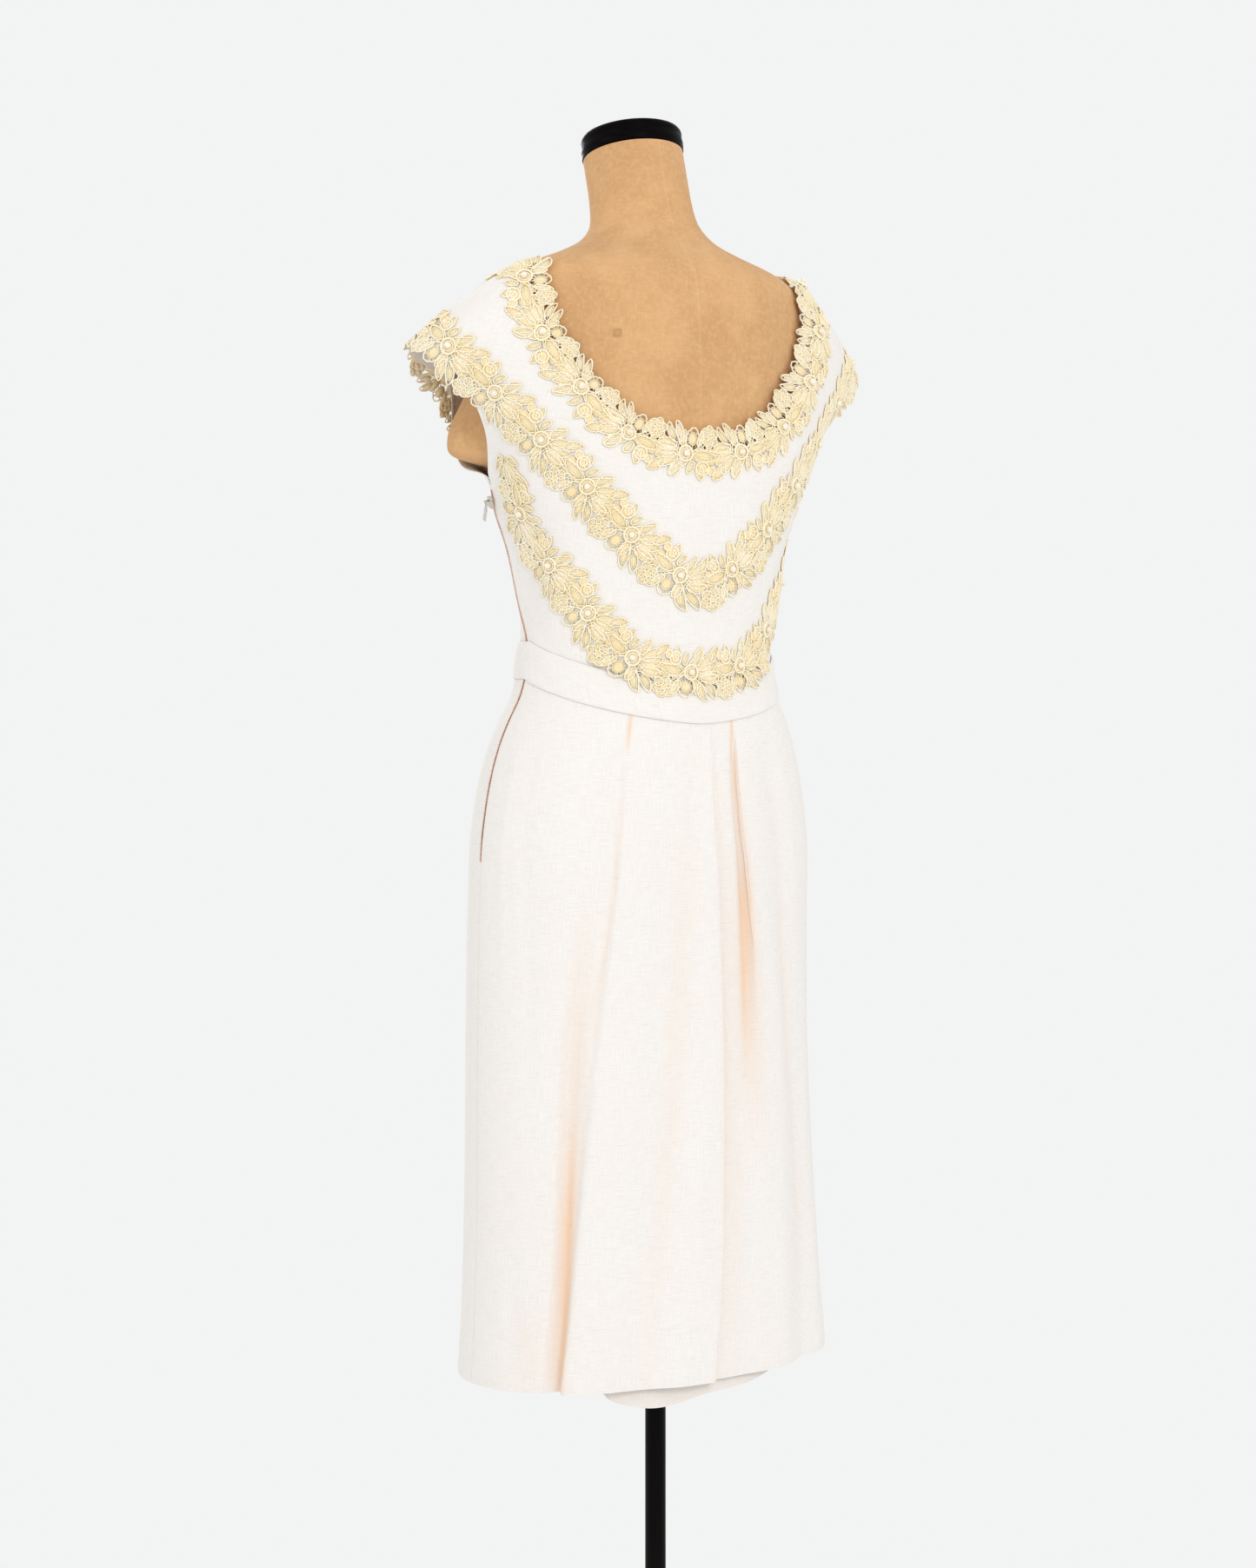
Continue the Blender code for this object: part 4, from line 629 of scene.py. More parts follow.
def skirt_panel(name, folds, splits, ends, table, warm_shade_table, columns, look, way):
    """Skirt panel with its folds, its creases, its turned hem, the stitch dimples over it and painted warm
    shade in its folds.
    """
    half_seam = 0.5 * SEAM / BODY[0, 1]
    first, last = ends[0] + half_seam * (way < 0), ends[1] - half_seam * (way > 0)
    splits = [max(3, round(n * columns)) for n in splits]
    outer = refine(skirt_outer(folds, splits, first, last, finer(SKIRT_LEVELS, 3)), 4)
    above = outer[..., 2] - outer[:1, :, 2]
    degrees = unrolled(outer)[..., 0]
    side = np.clip(from_edge(outer.shape[1]) / EDGE_FADE[0], 0, 1)
    low = np.clip((belt_bottom(np.radians(degrees)) - outer[..., 2]) / BELT_FADE, 0, 1)
    hem = HEM_RISE / (1 + np.exp((above - HEM_DEPTH) / HEM_ROUND))
    hem = hem - 2 * HEM_RISE * np.exp(-((above / HEM_ROUND) ** 2))
    deep, tall, every = STITCH_DIMPLES
    dimple = deep * np.exp(-(((above - HEM_DEPTH) / tall) ** 2))
    beat = 0.5 + 0.5 * np.cos(2 * math.pi * degrees / every)
    relief = (creases(outer, table) * low + hem - dimple * beat) * side
    outer = outer + surface_normals(outer) * relief[..., None]
    column = 0 if way > 0 else -1
    zip_part = np.clip((outer[:, column, 2] - ZIP_END_Z) / ZIP_FADE, 0, 1)
    outer[:, column, 1] += way * 0.5 * (SEAM + (ZIP_GAP - SEAM) * zip_part)
    # painted warm shade: share of the linen's peach shade colour at every point, from the table of warm
    # places
    warm_shade = np.clip(creases(outer, warm_shade_table, WARM_SHADE_ENDS) * 1000, 0, 1)
    return cloth(name, outer, outer - surface_normals(outer) * LINEN, look, warm_shade), outer


BACKING_SPAN = (55, 118)  # degrees round the body
BACKING_BOTTOM = 0.4605
BACKING_DIP = (0.011, 72, 14)  # how deep its lowest part hangs, where in degrees, and how wide that is
BACKING_DEPTH = ((0.45, 0.80, 0.90, 1.00, 1.065), (0.0105, 0.0105, 0.0082, 0.0062, 0.0026))  # z, inset
BACKING_LIFTS = ((96, 22, 0.013), (60, -5, 0.008))  # where its bottom rises, over what, how much
BACKING_TOP = 0.004  # of the backing over the belt's lower edge
BACKING_WALL = 0.0008
# painted warm shade over the whole backing, which hangs inside behind the pleats
BACKING_WARM_SHADE = 0.10


def make_underlay(look):
    """Inner layer that hangs behind the pleats and dips below the hem."""
    angles = np.radians(np.linspace(*BACKING_SPAN, 65))
    side = np.degrees(angles)
    deep, where, wide = BACKING_DIP
    dip = deep * np.exp(-(((side - where) / wide) ** 2))
    lift = sum(np.clip((side - start) / over, 0, 1) ** 2 * height for start, over, height in BACKING_LIFTS)
    bottom = BACKING_BOTTOM - dip + lift
    top = belt_bottom(angles) + BACKING_TOP
    rows = []
    for share in np.linspace(0, 1, 81):
        z = bottom + (top - bottom) * share
        points, out = ring(BODY, angles, z)
        rows.append(points - out * smooth_curve(*BACKING_DEPTH, z)[:, None])
    outer = np.array(rows)
    inner = outer - surface_normals(outer) * BACKING_WALL
    # the backing takes an even painted warm shade
    return cloth("pleat_backing", outer, inner, look, BACKING_WARM_SHADE)


BELT_LEVELS = (0, 0.012, 0.04, 0.10, 0.22, 0.36, 0.50, 0.64, 0.78, 0.90, 0.96, 0.988, 1)
BELT_EDGE = 0.045  # share of its height over which an edge is rounded
BELT_WALL = (0.0006, 0.0010, 0.0006)  # at the edge, more inside it, and more in the middle
BELT_WAVES = ((0.00018, 7, 9), (0.00012, 17, 4))  # height, waves all round, turn from edge to edge


def make_belt(look):
    """Shaped belt with rounded, turned edges, lying over the waist seam and the zip."""
    angle = np.linspace(0, 2 * math.pi, 240, endpoint=False)
    outer, inner = [], []
    for share in BELT_LEVELS:
        points, out = ring(BODY, angle, belt_bottom(angle) + BELT_HEIGHT * share)
        rounded = min(1.0, min(share, 1 - share) / BELT_EDGE) ** 0.5
        edge, inside, middle = BELT_WALL
        crown = middle * math.sin(math.pi * share)
        uneven = sum(height * np.sin(waves * angle + turn * share) for height, waves, turn in BELT_WAVES)
        lift = BELT_LIFT + edge + (inside * rounded + crown + uneven * rounded)
        inner.append(points + out * BELT_LIFT)
        outer.append(points + out * lift[:, None])
    outer, inner = np.array(outer), np.array(inner)
    return cloth("belt", outer, inner, look, 0.0, closed=True), outer


def mirrored(row):
    row = [np.array(point, float) for point in row]
    other = [point * np.array((-1, 1, 1)) for point in reversed(row[:-1])]
    return np.array(row + other)


def shoulder_point(share):
    """Point of the shoulder seam, from the cap's tip (0) to the neck point (1), a little crowned."""
    tip, neck = np.array(TIP), np.array(NECK_POINT)
    return tip + (neck - tip) * share + np.array((0, 0, 0.006)) * math.sin(math.pi * share)


def bodice_half(rows, neckline, waist_end, columns, splits):
    """Outer points of the left half of a bodice piece, from the waist seam up to its top edge."""
    levels = []
    for start, share in zip(WAIST_SEAM_ANGLES, (0.5, 1.15)):
        angle = start + (waist_end - start) * columns
        height = BELT_HEIGHT * share + WAIST_GAP / 2
        levels.append(ring(BODY, angle, belt_bottom(angle) + height)[0])
    for row in rows:
        levels.append(row_spline(mirrored(row), columns / 2))
    on_shoulder = columns <= NECK_SHARE + TINY
    top = [shoulder_point(share) for share in columns[on_shoulder] / NECK_SHARE]
    neck, _ = spline(neckline, (columns[~on_shoulder] - NECK_SHARE) / (1 - NECK_SHARE))
    levels.append(np.vstack([np.array(top), neck]))
    levels = np.array(levels)
    shares = np.linspace(0, 1, (len(levels) - 1) * splits + 1)
    return np.stack([row_spline(levels[:, j], shares) for j in range(levels.shape[1])], axis=1)


def whole_grid(half):
    other = half[:, -2::-1].copy()
    other[..., 0] *= -1
    return np.concatenate([half, other], axis=1)


def bodice_outer(columns, splits):
    """Outer grids of the bodice's back and front, which share their side and shoulder seams."""
    back = bodice_half(BACK_ROWS, BACK_NECKLINE, math.pi / 2, columns, splits)
    front = bodice_half(FRONT_ROWS, FRONT_NECKLINE, -math.pi / 2, columns, splits)
    seam = slice(0, SEAM_LEVELS * splits + 1)
    back[seam, 0] = front[seam, 0] = (back[seam, 0] + front[seam, 0]) / 2
    return whole_grid(back), whole_grid(front)


def part_seams(grid, way, splits, columns):
    """Draw a bodice piece back from its side and shoulder seams by half a seam's gap."""
    out = grid.copy()
    last = grid.shape[1] - 1
    for i in range(SEAM_LEVELS * splits + 1):
        for j, inward in ((0, 1), (last, last - 1)):
            step = grid[i, inward] - grid[i, j]
            out[i, j] += step / np.linalg.norm(step) * 0.5 * (ZIP_GAP if j == 0 else SEAM)
    seam_columns = int((columns <= NECK_SHARE + TINY).sum())
    for j in list(range(seam_columns)) + [last - j for j in range(seam_columns)]:
        out[-1, j, 1] += way * 0.7 * SEAM
    return out


def make_bodice(look):
    """Back and front of the bodice; returns the pieces and their outer grids before the seams part."""
    columns, splits = finer(HALF_COLUMNS, BODICE_FINER), BODICE_SPLITS
    grids = bodice_outer(columns, splits)
    pieces = []
    for name, grid, way, table in (("bodice_back_cloth", grids[0], 1, BACK_CREASES),
                                   ("bodice_front_cloth", grids[1], -1, FRONT_CREASES)):
        aside = np.clip(from_edge(grid.shape[1]) / EDGE_FADE[1], 0, 1)[None]
        below = np.clip(np.arange(len(grid))[::-1] / EDGE_FADE[1], 0, 1)[:, None]
        grid += surface_normals(grid) * (creases(grid, table) * (aside * below))[..., None]
        outer = part_seams(grid, way, splits, columns)
        pieces.append(cloth(name, outer, outer - surface_normals(outer) * LINEN, look, 0.0))
    return pieces, grids


# Dress form and stand

NECK_FOOT_Z = 1.500
DRAW_IN = (0.020, 0.010, 0.0015)  # how far off the bodice is looked for, most to move, most sideways
FORM_SOFTENING = (0.4, 0.3, 0.3)  # shares of a point, its neighbours around and those above and below
CAP_FOOT = ((0.0012, 0), (0.0, 0.0009))  # of the satin band: in from its side, height
CAP_RIBS = (0.003, 0.0165, 7)  # heights between which it has soft ribs, and how many
CAP_RIB = 0.0004
CAP_CROWN = (0.012, 0.0015)  # radius and height of the middle of its top
CAP_TOP = ((0.0006, 0.0035), (0.0020, 0.0015), (0.0050, 0.0003), (0.009, 0.0))  # in from its side and top
FLANGE_HEIGHT = 0.008
FLANGE_PROFILE = ((0.032, -FLANGE_HEIGHT), (0.0345, -0.0078), (0.036, -0.006), (0.036, 0.0))
BASE_PROFILE = (
    (BASE_RADIUS - 0.001, 0), (BASE_RADIUS, 0.001), (BASE_RADIUS, 0.0065), (BASE_RADIUS - 0.001, 0.0078),
    (BASE_RADIUS - 0.003, 0.0085), (0.060, 0.0105), (0.030, 0.0112), (0.026, BASE_HEIGHT - 0.0003),
    (0.024, BASE_HEIGHT),
)


def form_points(angle, z):
    """Form surface with its shoulder stubs and the leaning top of its neck."""
    points, _ = ring(FORM, angle, z)
    height = z - STUB["z"]
    under = np.exp(-((height / STUB["below"]) ** 4))
    over = np.exp(-((height / STUB["above"]) ** 2))
    fall = np.where(height < 0, under, over)
    side = np.where(np.cos(angle) >= 0, 1.0, -1.0)
    from_side = np.arctan2(np.sin(angle), np.abs(np.cos(angle)))
    push = STUB["reach"] * fall * np.exp(-(((from_side - STUB["angle"]) / STUB["spread"]) ** 2))
    points[..., 0] += STUB["way"][0] * side * push
    points[..., 1] += STUB["way"][1] * push
    lean = math.tan(NECK_TILT) * np.clip((z - NECK_FOOT_Z) / (NECK_TOP_Z - NECK_FOOT_Z), 0, 1)
    _, centre, _, _ = section(FORM, z)
    points[..., 2] += lean * (points[..., 1] - centre)
    return points


def draw_in(rings, trees):
    """Move the form's points in where they come nearer than FORM_CLEAR to the bodice's inner face."""
    apart = np.abs(rings[:, 0, 2] - STUB["z"]) > STUB["hand_set"]
    clear_of_stubs = rings[apart]
    reach, most, aside = DRAW_IN
    for point in clear_of_stubs.reshape(-1, 3):
        for tree in trees:
            found = over_surface(tree, Vector(point), reach)
            if found is None:
                continue
            over, sideways, normal = found
            excess = over + LINEN + FORM_CLEAR
            if 0 < excess < most and sideways < aside:
                point -= np.array(normal) * excess
    rings[apart] = clear_of_stubs
    return rings


def stack(name, rings, look, sharp=40):
    """Closed round piece through rings of points, with flat ends."""
    rows, columns = rings.shape[:2]
    points = rings.reshape(-1, 3)
    quads, _ = cells(rows, columns, True)
    low, high = tuple(range(columns)), tuple(range((rows - 1) * columns, rows * columns))
    if turned_in(points, quads):
        quads, high = quads[:, ::-1], high[::-1]
    else:
        low = low[::-1]
    return solid(name, points, [tuple(quad) for quad in quads.tolist()] + [low, high], look, sharp=sharp)


def disc_rings(profile, centre, tilt=0.0, sides=96):
    """Rings of a turned piece from its (radius, height) profile, leaning back by tilt about X."""
    angle = np.linspace(0, 2 * math.pi, sides, endpoint=False)
    rings = []
    for radius, height in profile:
        y = radius * np.sin(angle)
        points = np.stack([radius * np.cos(angle), y * math.cos(tilt) - height * math.sin(tilt) + centre[1],
                           centre[2] + height * math.cos(tilt) + y * math.sin(tilt)], axis=-1)
        rings.append(points + np.array([centre[0], 0, 0]))
    return np.array(rings)


def make_form(looks, grids):
    """Smooth canvas form, and the black fittings it stands on, each a little finer than its solid."""
    trees = [grid_tree(grid) for grid in grids]
    angle = np.linspace(0, 2 * math.pi, 144, endpoint=False)
    levels = finer(np.concatenate([FORM[:12, 0], STUB_LEVELS, FORM[17:, 0]]), 4)
    rings = np.array([form_points(angle, np.full(len(angle), z)) for z in levels])
    rings = draw_in(rings, trees)
    own, beside, stacked = FORM_SOFTENING
    for _ in range(3):
        around = (np.roll(rings, 1, 1) + np.roll(rings, -1, 1)) / 2
        upward = rings.copy()
        upward[1:-1] = (rings[2:] + rings[:-2]) / 2
        rings = own * rings + beside * around + stacked * upward
    torso = stack("form_canvas_torso", rings, looks["canvas"])
    profile = [(CAP_RADIUS - inward, height) for inward, height in CAP_FOOT]
    for k, height in enumerate(np.linspace(*CAP_RIBS)):
        profile.append((CAP_RADIUS + CAP_RIB * math.sin(k), height))
    profile += [(CAP_RADIUS - inward, CAP_HEIGHT - down) for inward, down in CAP_TOP]
    profile.append((CAP_CROWN[0], CAP_HEIGHT + CAP_CROWN[1]))
    top = (0.0, FORM[-1, 2], NECK_TOP_Z + SEAM)
    foot = BASE_HEIGHT + SEAM
    pole_height = FORM_BOTTOM_Z - SEAM - FLANGE_HEIGHT - SEAM - foot
    pole = disc_rings(((POLE_RADIUS, 0), (POLE_RADIUS, pole_height)), (0, 0, foot), sides=64)
    return [
        torso,
        stack("satin_neck_band", disc_rings(profile, top, NECK_TILT), looks["satin"]),
        stack("flange_plate", disc_rings(FLANGE_PROFILE, (0, 0, FORM_BOTTOM_Z - SEAM)), looks["black"]),
        stack("pole_tube", pole, looks["black"]),
        stack("base_plate", disc_rings(BASE_PROFILE, (0, 0, 0)), looks["black"]),
    ]


def grid_tree(grid):
    rows, columns = grid.shape[:2]
    quads, _ = cells(rows, columns, False)
    return BVHTree.FromPolygons(grid.reshape(-1, 3).tolist(), quads.tolist())


# Lace

REPEAT = 0.060  # length of one repeat of the lace, in which its drawing below is made
LACE_LEAVES = (  # base, tip, width, bend, open edge, toothed; millimetres along and across the strip
    ((7.0, 3.0), (9.0, 28.5), 15.5, 1.5, True, True),
    ((50.0, 8.0), (30.0, 7.5), 9.5, 1.0, False, True),
    ((51.5, 11.0), (37.5, 30.0), 7.6, 2.4, True, False),
    ((53.0, 11.0), (45.5, 33.0), 7.6, -2.0, True, False),
    ((3.0, -6.5), (-13.0, -26.5), 7.6, -3.0, False, False),
    ((7.0, -7.0), (3.0, -21.0), 6.0, 1.0, False, False),
    ((8.0, -1.5), (31.0, -3.5), 9.0, 1.2, False, True),
    ((52.0, -1.5), (31.0, -10.5), 8.6, -2.0, False, False),
    ((52.5, -4.0), (36.0, -20.5), 9.4, -1.5, False, True),
    ((54.0, -7.0), (48.0, -26.5), 8.0, 1.5, False, False),
    ((29.0, 1.5), (51.0, 3.0), 6.8, 1.0, False, False),
    ((56.5, 6.5), (57.0, 25.0), 7.0, 0.8, False, True),
    ((12.0, -12.0), (16.0, -27.0), 7.0, 1.2, False, False),
    ((40.0, -9.0), (27.0, -26.0), 8.0, 1.4, False, True),
    ((12.0, 9.0), (17.5, 27.0), 5.6, -1.2, False, False),
)
LACE_RINGS = (  # centre, radius, cord, filled
    ((0.0, 0.0), 6.9, 1.15, True),
    ((0.0, 0.0), 4.3, 0.70, False),
    ((17.5, -14.0), 6.0, 0.95, True),
    ((18.0, -14.5), 3.2, 0.80, False),
    ((25.5, -17.0), 3.6, 0.80, True),
    ((20.5, 8.2), 2.3, 0.65, False),
    ((15.0, 9.0), 1.9, 0.60, False),
    ((36.0, 11.5), 2.0, 0.60, False),
)
LACE_ROSETTES = (  # centre, radius, petals, turn in degrees, open edge
    ((26.0, 19.5), 10.2, 6, 20, True),
)
LACE_STEMS = (
    ((5.5, 2.0), (12.0, 5.0), (20.0, 5.6), (28.0, 3.8), (38.0, 2.2), (48.0, 4.6), (54.5, 2.5)),
    ((5.5, -2.5), (12.0, -7.0), (20.0, -7.6), (30.0, -6.0), (42.0, -5.0), (54.5, -2.0)),
    ((21.0, 6.0), (23.0, 9.0), (25.5, 12.0)),
    ((34.0, 4.0), (35.0, 8.0), (33.5, 13.0)),
    ((51.0, 5.0), (51.8, 8.0), (52.2, 12.0)),
)
LACE_GROUND = (  # outline of the plain stitched ground behind the flowers, along and across
    (3, 5), (9, 4), (14, 9), (20, 6), (25, 9), (31, 6), (37, 10), (43, 6), (49, 9), (56, 4), (57, -4),
    (51, -9),
    (45, -6), (39, -11), (33, -7), (27, -12), (21, -9), (15, -10), (9, -6), (4, -5),
)
PEARL_RADIUS = 0.0030
LACE_SQUEEZE = 0.84  # from the drawing's width to the strip's
CORDS = {  # of the lace: radius, and height of its middle off the cloth
    "outline": (0.00080, 0.00090),
    "inner outline": (0.00050, 0.00085),
    "bar": (0.00042, 0.00070),
    "inside": (0.00052, 0.00088),
    "vein": (0.00056, 0.00100),
    "stem": (0.00062, 0.00090),
}
PADS = {  # stitched fillings: height in the middle and at the edge
    "leaf": (0.00062, 0.00050),
    "ring": (0.00055, 0.00045),
    "ground": (0.00035, 0.00030),
}
PAD_BASE = 0.00005


class Drawing:
    """One repeat of the lace as flat corded work, in metres: along, across, and height off the cloth."""

    def __init__(self):
        self.work = {"stitched": ([], []), "corded": ([], [])}

    def add(self, kind, points, faces):
        known, joined = self.work[kind]
        start = len(known)
        known.extend(tuple(p) for p in points)
        joined.extend(tuple(start + k for k in face) for face in faces)

    def cord(self, path, radius, height, closed=False, sides=4, taper=False):
        """Round cord along a flat path."""
        path = np.asarray(path, float)
        way = unit(np.roll(path, -1, 0) - np.roll(path, 1, 0) if closed else np.gradient(path, axis=0))
        side = np.stack([way[:, 1], -way[:, 0]], 1)
        turn = 2 * math.pi * (np.arange(sides) + 0.5) / sides
        count = len(path)
        thick = np.full(count, radius)
        if taper:
            thick = radius * (0.45 + 0.55 * np.sin(np.linspace(0.35, math.pi - 0.1, count)))
        rings = np.empty((count, sides, 3))
        rings[..., :2] = path[:, None] + side[:, None] * (thick[:, None] * np.cos(turn))[..., None]
        rings[..., 2] = height + thick[:, None] * np.sin(turn)
        faces = []
        for i in range(count if closed else count - 1):
            n = (i + 1) % count
            for j in range(sides):
                k = (j + 1) % sides
                faces.append((i * sides + j, n * sides + j, n * sides + k, i * sides + k))
        if not closed:
            faces += [tuple(range(sides)), tuple(range(count * sides - 1, (count - 1) * sides - 1, -1))]
        self.add("corded", rings.reshape(-1, 3), faces)

    def pad(self, outline, rise, edge, middle=None):
        """Low stitched filling inside an outline, closed underneath."""
        outline = np.asarray(outline, float)
        middle = outline.mean(0) if middle is None else middle
        count = len(outline)
        rings = [np.column_stack([middle + (outline - middle) * share, np.full(count, height)])
                 for share, height in ((1.0, edge), (0.55, rise))]
        centre = rings[-1].mean(0)
        base = rings[0].copy()
        base[:, 2] = PAD_BASE
        points = np.concatenate(rings + [centre[None], base])
        faces = []
        for i in range(count):
            k = (i + 1) % count
            faces.append((i, k, count + k, count + i))
            faces.append((count + i, count + k, 2 * count))
            faces.append((k, i, 2 * count + 1 + i, 2 * count + 1 + k))
        faces.append(tuple(2 * count + 1 + i for i in reversed(range(count))))
        area = (outline[:, 0] * np.roll(outline[:, 1], -1) - outline[:, 1] * np.roll(outline[:, 0], -1)).sum()
        if area < 0:
            faces = [tuple(reversed(face)) for face in faces]
        self.add("stitched", points, faces)

    def leaf(self, base, tip, width, bend, open_edge, toothed, count=12):
        """Leaf or petal: outer cord, stitched middle, inner cord and vein, with bars across an open edge."""
        base, tip = np.array(base, float), np.array(tip, float)
        side = np.array((-(tip - base)[1], (tip - base)[0])) / np.linalg.norm(tip - base)
        control = (base + tip) / 2 + side * bend * 2
        t = np.linspace(0, 1, count)[:, None]
        spine = (1 - t) ** 2 * base + 2 * t * (1 - t) * control + t ** 2 * tip
        way = unit(np.gradient(spine, axis=0))
        side = np.stack([-way[:, 1], way[:, 0]], 1)
        half = width / 2 * np.sin(math.pi * t ** 0.86) ** 0.55
        tooth = 1 + (0.10 * np.cos(math.pi * np.arange(count)) if toothed else np.zeros(count))[:, None]
        left = spine + side * half * tooth
        right = spine - side * half * tooth
        outline = np.concatenate([left, right[-2:0:-1]])
        middle = spine[count // 2]
        self.cord(outline, *CORDS["outline"], closed=True)
        inner = middle + (outline - middle) * (0.56 if open_edge else 0.94)
        self.pad(inner, *PADS["leaf"], middle)
        if open_edge:
            self.cord(inner, *CORDS["inner outline"], closed=True, sides=3)
            for i in range(1, len(outline)):
                if i != count - 1:
                    self.cord([inner[i], outline[i]], *CORDS["bar"], sides=3)
        else:
            self.cord(middle + (outline[::2] - middle) * 0.58, *CORDS["inside"], closed=True, sides=3)
        self.cord(spine[1:-2:2] if count > 8 else spine[1:-1], *CORDS["vein"], taper=True)

    def ring(self, centre, radius, cord, filled):
        angle = np.linspace(0, 2 * math.pi, max(10, int(radius * 3000)), endpoint=False)
        outline = np.array(centre) + radius * np.stack([np.cos(angle), np.sin(angle)], 1)
        self.cord(outline, cord, 0.9 * cord + 0.0002, closed=True, sides=5)
        if filled:
            self.pad(outline, *PADS["ring"])

    def rosette(self, centre, radius, petals, turn, open_edge):
        centre = np.array(centre)
        self.ring(centre, 0.27 * radius, 0.00075, True)
        for k in range(petals):
            way = math.radians(turn + 360 * k / petals)
            ahead = np.array((math.cos(way), math.sin(way)))
            self.leaf(centre + 0.22 * radius * ahead, centre + 1.04 * radius * ahead, 0.86 * radius,
                      0.0, open_edge, False, count=8)


def lace_drawing():
    """One repeat of the lace, ring first."""
    drawn = Drawing()
    mm = 0.001 * np.array((1.0, LACE_SQUEEZE))
    drawn.pad(np.array(LACE_GROUND) * mm, *PADS["ground"])
    for base, tip, width, bend, open_edge, toothed in LACE_LEAVES:
        drawn.leaf(np.array(base) * mm, np.array(tip) * mm, 0.00103 * width, 0.001 * bend, open_edge, toothed)
    for centre, radius, cord, filled in LACE_RINGS:
        drawn.ring(np.array(centre) * mm, 0.001 * radius, 0.001 * cord, filled)
    for centre, radius, petals, turn, open_edge in LACE_ROSETTES:
        drawn.rosette(np.array(centre) * mm, 0.001 * radius, petals, turn, open_edge)
    for stem in LACE_STEMS:
        line, _ = spline([(*p, 0) for p in stem], np.linspace(0, 1, 2 * len(stem) + 1))
        drawn.cord(line[:, :2] * mm, *CORDS["stem"])
    return drawn


LEAN_REACH = 0.024  # height at which the neck row touches the form
LEAN_CLEAR = 0.0035  # and its distance from it there
PAST_EDGE = 0.040  # how far the lace's surface goes on past the cloth
FORM_BELOW_LACE = 0.0016  # least height of lace off the form
SHORT_REACH = (0.010, 0.0010, 0.006)  # how far cloth is looked for, how far aside counts, most to rise


class Bodice:
    """Surface that the lace lies on: the bodice, carried on past its open edges."""

    def __init__(self, grids, belt, torso, columns, splits):
        points, normals, faces = [], [], []

        def join(grid, normal):
            quads, _ = cells(*grid.shape[:2], False)
            faces.extend((quads + len(points)).tolist())
            points.extend(grid.reshape(-1, 3).tolist())
            normals.extend(normal.reshape(-1, 3).tolist())

        first = int((columns < NECK_SHARE - TINY).sum())
        for grid in grids:
            normal = surface_normals(grid)
            for _ in range(12):
                normal[1:-1] = (normal[:-2] + 2 * normal[1:-1] + normal[2:]) / 4
                normal[:, 1:-1] = (normal[:, :-2] + 2 * normal[:, 1:-1] + normal[:, 2:]) / 4
                normal = unit(normal)
            join(grid, normal)
            neck, armhole = slice(first, grid.shape[1] - first), slice(SEAM_LEVELS * splits, None)
            edges = (((-1, neck), (-4, neck)), ((armhole, 0), (armhole, 3)), ((armhole, -1), (armhole, -4)))
            for at_edge, inside in edges:
                edge, out, inner = grid[at_edge], normal[at_edge], grid[inside]
                across = unit(np.cross(np.gradient(edge, axis=0), out))
                across *= np.sign((across * (edge - inner)).sum(1, keepdims=True))
                if at_edge[0] == armhole:
                    across[:, 2] -= CAP_DROOP * np.clip((edge[:, 2] - CAP_LOW) / 0.030, 0, 1)
                    across = unit(across)
                join(np.stack([edge, edge + across * PAST_EDGE]), np.stack([out, out]))
        self.faces = np.array(faces)
        self.normals = np.array(normals)
        self.tree = BVHTree.FromPolygons(points, faces)
        closed_belt = np.concatenate([belt, belt[:, :1]], 1)
        self.form = BVHTree.FromPolygons([v.co for v in torso.data.vertices],
                                         [tuple(p.vertices) for p in torso.data.polygons])
        self.under = [(grid_tree(grid), LACE_LIFT) for grid in (*grids, closed_belt)]
        self.under.append((self.form, FORM_BELOW_LACE))

    def surface(self, point):
        near, _, index, _ = self.tree.find_nearest(Vector(point))
        return np.array(near), self.normals[self.faces[index]].mean(0)

    def form_way(self, point):
        """Outward direction of the form nearest to a point."""
        _, normal, _, _ = self.form.find_nearest(Vector(point))
        return np.array(facing_out(normal, Vector(point)))

    def lean_on_form(self, spots, ways):
        """Ways turned from the cloth's edge toward the form, so that a strip there comes to rest on it."""
        for _ in range(3):
            aimed = []
            for spot, way in zip(spots, ways):
                tip = Vector(spot + way * LEAN_REACH)
                over, _, normal = over_surface(self.form, tip)
                aimed.append(tuple(tip - normal * max(over - LEAN_CLEAR, 0.0) - Vector(spot)))
            ways = unit(even_out(np.array(aimed)[:, None], 6)[:, 0])
        return ways

    def short(self, point):
        """How much further out a point has to be to clear the cloth, the belt and the form."""
        most = 0.0
        reach, aside, limit = SHORT_REACH
        for tree, wanted in self.under:
            found = over_surface(tree, Vector(point), reach)
            if found and found[1] < aside:
                most = max(most, wanted - found[0])
        return min(most, limit)


def even_out(rows, times):
    """Blend a lattice's values with their neighbours'."""
    for _ in range(times):
        ends = np.concatenate([rows[:1], rows, rows[-1:]])
        rows = (ends[:-2] + 2 * ends[1:-1] + ends[2:]) / 4
        sides = np.concatenate([rows[:, :1], rows, rows[:, -1:]], 1)
        rows = (sides[:, :-2] + 2 * sides[:, 1:-1] + sides[:, 2:]) / 4
    return rows


